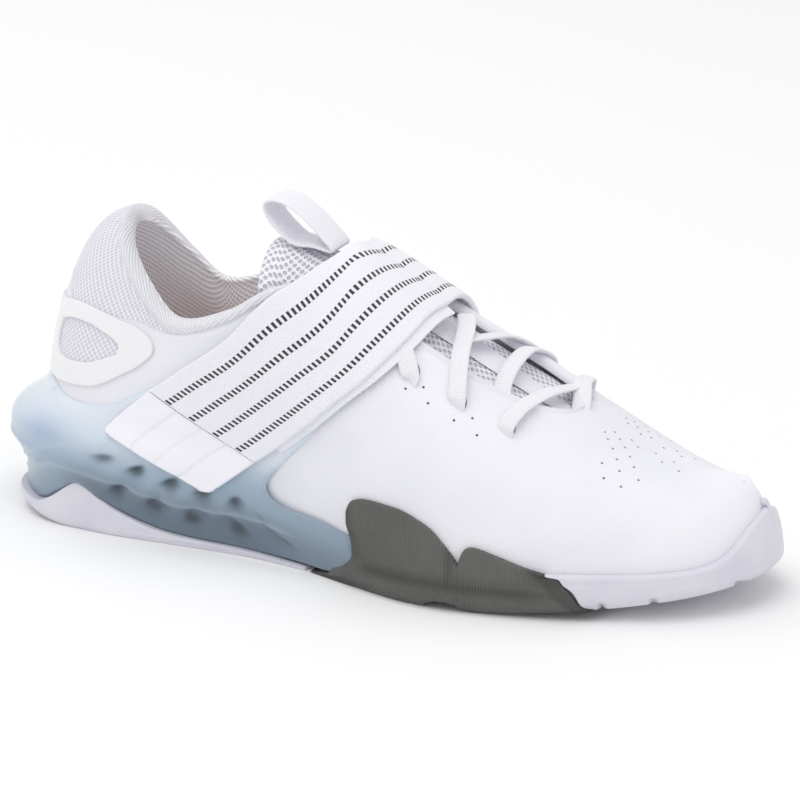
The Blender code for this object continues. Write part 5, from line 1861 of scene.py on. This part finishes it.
@dataclass
class Strap:
    """Webbing strap over the instep and its moulded tab."""

    lift: float = 0.0006
    thick: float = 0.0022
    backing_lift: float = 0.0001
    backing_thick: float = 0.0009
    backing_rear: float = 0.012
    backing_front: float = 0.0036
    tab_long: float = 0.041
    tab_wide: float = 0.050
    tab_thick: float = 0.0018
    corner: float = 0.0045
    groove: float = 0.0003
    grooves: tuple = (0.27, 0.50, 0.73)

    def route(self, table: Sequence, steps: int) -> Array:
        """Smooth route with its places in metres."""
        rows = np.array(table, float)
        rows[:, 1] *= FORM.length
        rows[:, 3] *= FORM.length
        return spline(np.arange(len(rows)), rows, np.linspace(0, len(rows) - 1, steps))

    def build(self, tree: BVHTree, finishes: Finishes) -> None:
        """Make strap and tab."""
        parts = shares_across(30)
        rows = self.route(STRAP_ROUTE, 130)
        sheet = band_sheet(*grid_over(tree, rows, parts), self.lift, self.thick, parts)
        rows = rows[6:70]
        rows[:, 1] += self.backing_rear
        rows[:, 3] += self.backing_front
        backing = band_sheet(*grid_over(tree, rows, parts), self.backing_lift,
                             self.backing_thick, parts, 0.0004)
        backing.marks["face"] *= 0.0
        strap = make_piece("strap_band", [sheet, backing], [finishes.strap], fill=True)
        settle(strap, "strap_webbing", "strap")
        self.make_tab(tree, finishes)

    def make_tab(self, tree: BVHTree, finishes: Finishes) -> None:
        """Tab with round corners at its free end and long shallow grooves."""
        at = np.linspace(0, 1, 64)**1.3
        rows = spline(np.arange(3), self.route(TAB_ROUTE, 3), at * 2)
        parts = shares_across(56)
        feet = np.empty((len(at), len(parts), 3))
        for i, (rear_turn, rear, front_turn, front) in enumerate(rows):
            away = at[i] * self.tab_long
            short = 0.0
            if away < self.corner:
                short = self.corner - math.sqrt(self.corner**2 - (self.corner - away)**2)
            share = (short + parts * (self.tab_wide - 2 * short)) / self.tab_wide
            for j, part in enumerate(share):
                feet[i, j] = drape(tree, rear + (front - rear) * part,
                                   rear_turn + (front_turn - rear_turn) * part, 0.0)
        normal = grid_normal(feet)
        sheet = band_sheet(feet, normal, self.lift, self.tab_thick, parts, 0.0010)
        count = len(parts)
        dip = np.zeros(count)
        for place in self.grooves:
            dip += np.exp(-((parts - place) / 0.012)**2)
        sheet.points[:count] -= (self.groove * dip)[:, None, None] * normal.transpose(1, 0, 2)
        end = 1.0 - smoothstep(at * self.tab_long / 0.0010)
        sink = (0.5 * self.tab_thick * end)[None, :, None] * normal.transpose(1, 0, 2)
        sheet.points[:count] -= sink
        sheet.points[count:2 * count] += sink[::-1]
        sheet.points[2 * count] -= sink[0]
        # Painted shade: the tab's grooves a little darker through the line mark
        sheet.marks["line"] = np.concatenate([0.25 * dip, np.zeros(count + 1)])[:, None] + 0 * at
        tab = make_piece("strap_end", [sheet], [finishes.tab], fill=True)
        settle(tab, "tab_synthetic", "strap_tab")


TONGUE_TOP = (
    # x, height of the middle in instep heights, half width in ball widths: rear to front
    (0.346, 1.004, 0.200),
    (0.362, 1.012, 0.190),
    (0.386, 1.005, 0.170),
)
TONGUE_ARC = (
    # x, half angle
    (0.480, 34.0), (0.520, 45.0), (0.570, 52.0), (0.620, 51.0), (0.670, 49.0),
    (0.705, 45.0), (0.735, 39.0), (0.760, 29.0),
)
LOOP_PATH = (
    # x in lengths, height in instep heights, round the loop from its front foot
    (0.434, 1.006), (0.420, 1.052), (0.396, 1.110), (0.372, 1.148), (0.353, 1.153), (0.345, 1.130),
    (0.351, 1.090), (0.366, 1.048), (0.384, 1.0155), (0.408, 1.0145),
)


@dataclass
class Tongue:
    """Mesh tongue with its webbing strip and pull loop."""

    wall: float = 0.0036
    thick: float = 0.0048
    shift: float = 0.012
    loop_width: float = 0.0150
    webbing: float = 0.0013
    strip_width: float = 0.0110
    strip_thick: float = 0.0010

    def faces(self, tree: BVHTree, parts: Array, steps: int) -> tuple[Array, Array]:
        """Upper and under face of the tongue."""
        upside, underside = [], []
        for x, height, half in TONGUE_TOP:
            drop = parts**2 * 0.105 * FORM.collar_height
            y = (half * parts + self.shift) * FORM.ball_width
            row = np.stack([x * FORM.length + 0.25 * drop, y,
                            height * FORM.instep_height - drop], -1)
            thick = self.thick * (1.25 - 0.35 * np.abs(parts))
            upside.append(row)
            underside.append(row + np.stack([0.30 * thick, 0 * y, -thick], -1))
        for x, half in TONGUE_ARC:
            for rows, depth in ((upside, self.wall), (underside, self.wall + self.thick)):
                rows.append(np.array([
                    drape(tree, x * FORM.length, -half * part,
                          -depth - hollow(x * FORM.length, half * part)) for part in parts]))
        places = np.linspace(0, len(upside) - 1, steps)
        knots = np.arange(len(upside))
        over = spline(knots, np.array(upside).reshape(len(upside), -1), places)
        under = spline(knots, np.array(underside).reshape(len(upside), -1), places)
        return over.reshape(steps, -1, 3), under.reshape(steps, -1, 3)

    def build(self, tree: BVHTree, finishes: Finishes) -> None:
        """Make tongue, strip and loop."""
        parts = np.concatenate([[-1, -0.985, -0.955], np.linspace(-0.91, 0.91, 45),
                                [0.955, 0.985, 1]])
        over, under = self.faces(tree, parts, 110)
        middle = 0.5 * (over + under)
        close = np.abs(parts)
        plump = np.sqrt(np.clip(1.0 - ((close - 0.88) / 0.12).clip(0, 1)**2, 0.0, 1.0))
        over = middle + (over - middle) * plump[None, :, None]
        under = middle + (under - middle) * plump[None, :, None]
        end = np.sqrt(1.0 - (1.0 - np.clip(np.arange(110) / 5.0, 0, 1))**2)[:, None, None]
        over, under = middle + (over - middle) * end, middle + (under - middle) * end
        rows = np.concatenate([over, under[:, ::-1], over[:, :1]], axis=1).transpose(1, 0, 2)
        piece = make_piece("tongue_pad", [Sheet(rows)], [finishes.tongue], fill=True)
        settle(piece, "mesh_textile", "tongue")
        self.make_strip(tree, finishes)
        self.make_loop(finishes)

    def make_strip(self, tree: BVHTree, finishes: Finishes) -> None:
        """Webbing strip down the middle of the tongue."""
        parts = np.linspace(-1, 1, 13)
        half = self.strip_width / 2
        rows = []
        for x in np.linspace(0.470, 0.745, 60):
            turn = math.degrees(half / 0.040)
            deep = self.wall + hollow(x * FORM.length, 2.0)
            rows.append([drape(tree, x * FORM.length, -turn * part - 2.0, 0.0002 - deep)
                         for part in parts])
        low = np.array(rows)
        sheet = band_sheet(low, grid_normal(low), 0.0, self.strip_thick, (parts + 1) / 2, 0.0004)
        piece = make_piece("tongue_strip", [sheet], [finishes.webbing], fill=True)
        settle(piece, "strap_webbing")

    def make_loop(self, finishes: Finishes) -> None:
        """Pull loop: webbing bent into a long loop that stands on the tongue's top."""
        table = np.array(LOOP_PATH + LOOP_PATH[:1]) * np.array([FORM.length, FORM.instep_height])
        count = len(LOOP_PATH)
        knots = np.arange(-2, count + 3)
        path = spline(knots, table[knots % count], np.linspace(0, count, 121))
        along = np.roll(path[:-1], -1, axis=0) - np.roll(path[:-1], 1, axis=0)
        along = np.concatenate([along, along[:1]])
        out = unit(np.stack([-along[:, 1], along[:, 0]], -1))
        parts = np.linspace(-1, 1, 17)
        half = 0.5 * self.webbing
        section = [(part, 1.0 - 0.6 * max(0.0, abs(part) - 0.9) / 0.1) for part in parts]
        section += [(part, -height) for part, height in section[::-1]]
        section.append(section[0])
        rows = []
        for part, height in section:
            line = path + out * half * height
            y = np.full(len(path), part * self.loop_width / 2 + self.shift * FORM.ball_width)
            rows.append(np.stack([line[:, 0], y, line[:, 1]], -1))
        piece = make_piece("pull_tab_loop", [Sheet(np.array(rows))], [finishes.webbing])
        settle(piece, "strap_webbing", "pull_loop")


# Runs of the lace: places on the form as x in lengths, angle from the top and lift in millimetres
LACES = (
    ((0.552, -30.0, 1.2), (0.560, -34.0, 1.6), (0.567, -38.0, 0.8), (0.569, -40.0, -2.4)),
    ((0.583, 6.0, 1.0), (0.594, -3.0, 1.6), (0.607, -20.0, 1.8), (0.618, -34.0, 1.8),
     (0.624, -42.0, 1.2), (0.627, -45.5, -2.4)),
    ((0.598, -10.0, 0.2), (0.612, 2.0, 0.7), (0.628, 16.0, 0.9), (0.645, 32.0, 1.2),
     (0.655, 42.0, 1.0), (0.658, 46.0, -2.4)),
    ((0.668, 42.0, -2.0), (0.662, 34.0, 1.2), (0.655, 16.0, 1.4), (0.656, -4.0, 0.8),
     (0.661, -20.0, -1.2), (0.668, -30.0, -3.4)),
    ((0.686, -52.0, -2.4), (0.684, -48.0, 1.0), (0.690, -36.0, 1.8), (0.703, -14.0, 1.2),
     (0.714, 8.0, 0.6), (0.720, 26.0, -0.6)),
    ((0.712, 46.0, -2.0), (0.712, 40.0, 1.4), (0.722, 22.0, 1.4), (0.734, 8.0, 0.4),
     (0.742, -2.0, -2.4)),
)


@dataclass
class Laces:
    """Flat lace through the eyelets, one swept run for each crossing."""

    width: float = 0.0066
    thick: float = 0.0017

    def run(self, tree: BVHTree, table: Sequence) -> Sheet:
        """One run with a flat oval section.

        Args:
            tree: Surface below the lace.
            table: Places of the run.

        Returns:
            The run as an open tube.
        """
        spots = np.array([drape(tree, x * FORM.length, turn, lift / 1000 + self.thick / 2
                                - hollow(x * FORM.length, turn)) for x, turn, lift in table])
        path = spline(chord(spots), spots, np.linspace(0, 1, 60))
        along = unit(np.gradient(path, axis=0))
        heart = np.stack([path[:, 0], *(np.full(len(path), place) for place in HEART)], -1)
        up = unit(path - heart)
        side = unit(np.cross(up, along))
        up = unit(np.cross(along, side))
        turn = np.linspace(0, 2 * math.pi, 29)
        flat, tall = np.cos(turn), np.sin(turn)
        across = np.sign(flat) * np.abs(flat)**0.75 * self.width / 2
        high = np.sign(tall) * np.abs(tall)**0.75 * self.thick / 2
        rows = path[None] + across[:, None, None] * side + high[:, None, None] * up
        return Sheet(rows)

    def build(self, tree: BVHTree, finishes: Finishes) -> bpy.types.Object:
        """Make every run as one piece."""
        sheets = [self.run(tree, table) for table in LACES]
        piece = make_piece("lace_runs", sheets, [finishes.lace], fill=True)
        settle(piece, "lace_cotton", "laces")
        return piece


@dataclass
class Insole:
    """Foot bed in the upper, dished at the heel."""

    inset: float = 0.0032
    thick: float = 0.0040
    gap: float = 0.0003

    def build(self, finishes: Finishes) -> bpy.types.Object:
        """Make the bed from its rim in to the middle."""
        station = np.linspace(0, LAST_ROW, 113)
        sheets = []
        for side in Side:
            ring = ring_at(station, side)
            rows = []
            for height in (0.0, 0.0012, 0.0030, self.thick):
                share = np.full_like(ring, height / FORM.collar_height * 0.9)
                point = FORM.point(ring, share) - self.inset * FORM.normal(ring, share)
                point[:, 2] = FORM.bed(point[:, 0]) + self.gap + height
                rows.append(point)
            sheets.append(rows)
        made = []
        for number, rows in enumerate(sheets):
            other = sheets[1 - number]
            middle = 0.5 * (rows[-1] + other[-1])
            base = 0.5 * (rows[0] + other[0])
            top = [rows[-1] + (middle - rows[-1]) * part for part in np.linspace(0, 1, 16)[1:]]
            for part, row in zip(np.linspace(0, 1, 16)[1:], top):
                row[:, 2] -= 0.0008 * math.sin(math.pi / 2 * part)
            made.append(Sheet(np.array([base] + rows + top)))
        piece = make_piece("foot_bed", made, [finishes.insole])
        settle(piece, "insole_foam", "insole")
        return piece


@dataclass
class Studio:
    """Pale floor, soft light and the camera at the photograph's angle."""

    turn: float = 24.5
    rise: float = 19.0
    distance: float = 1.5
    lens: float = 188.0
    target: tuple = (0.110, 0.0, 0.050)
    shift: tuple = (0.00975, 0.0144)
    world: float = 0.74
    lights: tuple = (
        # name, place, size, power
        ("key", (0.0, -0.5, 1.8), 1.6, 12.0),
        ("side", (1.5, -0.5, 0.9), 1.0, 0.8),
        ("back", (-0.9, 0.7, 1.3), 1.0, 3.0),
    )

    def build(self) -> None:
        """Set up floor, lights and camera."""
        shape = bmesh.new()
        bmesh.ops.create_grid(shape, x_segments=8, y_segments=8, size=6.0)
        mesh = bpy.data.meshes.new("floor")
        shape.to_mesh(mesh)
        shape.free()
        floor = bpy.data.objects.new("floor", mesh)
        bpy.context.scene.collection.objects.link(floor)
        bench = Bench("floor")
        tint = bench.mix(bench.noise(0.4), linear((250, 250, 250)), linear((247, 247, 248)))
        mesh.materials.append(bench.finish(tint, 0.9))
        world = bpy.data.worlds.new("studio")
        bpy.context.scene.world = world
        world.use_nodes = True
        back = world.node_tree.nodes["Background"]
        back.inputs[0].default_value = (1.0, 1.0, 1.0, 1.0)
        back.inputs[1].default_value = self.world
        bpy.context.scene.view_settings.view_transform = 'Standard'
        for row in self.lights:
            self.light(*row)
        self.camera()

    def light(self, name: str, place: tuple, size: float, power: float) -> None:
        """Soft square light that faces the shoe."""
        data = bpy.data.lights.new(name, 'AREA')
        data.size = size
        data.energy = power
        lamp = bpy.data.objects.new(name, data)
        lamp.location = place
        way = Vector(self.target) - Vector(place)
        lamp.rotation_euler = way.to_track_quat('-Z', 'Y').to_euler()
        bpy.context.scene.collection.objects.link(lamp)

    def camera(self) -> None:
        """Camera at the photograph's angle to the shoe."""
        data = bpy.data.cameras.new("camera")
        data.lens = self.lens
        data.sensor_width = 36.0
        data.shift_x, data.shift_y = self.shift
        data.clip_start, data.clip_end = 0.05, 30.0
        eye = bpy.data.objects.new("camera", data)
        turn, rise = math.radians(self.turn), math.radians(self.rise)
        back = Vector((math.sin(turn) * math.cos(rise), -math.cos(turn) * math.cos(rise),
                       math.sin(rise)))
        eye.location = Vector(self.target) + back * self.distance
        eye.rotation_euler = (-back).to_track_quat('-Z', 'Y').to_euler()
        bpy.context.scene.collection.objects.link(eye)
        bpy.context.scene.camera = eye


def main() -> None:
    """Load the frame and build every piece."""
    logging.basicConfig(level=logging.INFO, format="%(name)s: %(message)s")
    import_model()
    Studio().build()
    finishes = Finishes()
    Upper().build(finishes)
    HeelCage().build(finishes.cage)
    HeelTread().build(finishes.pale, "pale_rubber", "outsole_heel")
    Wrap().build(finishes.dark, "dark_rubber", "forefoot_wrap")
    ForeTread().build(finishes.pale, "pale_rubber", "outsole_forefoot")
    Counter().build(finishes)
    outside = drape_tree(STRAP_BED)
    bare = drape_tree(BARE)
    Strap().build(outside, finishes)
    Tongue().build(bare, finishes)
    Laces().build(bare, finishes)
    Insole().build(finishes)


if __name__ == "__main__":
    main()
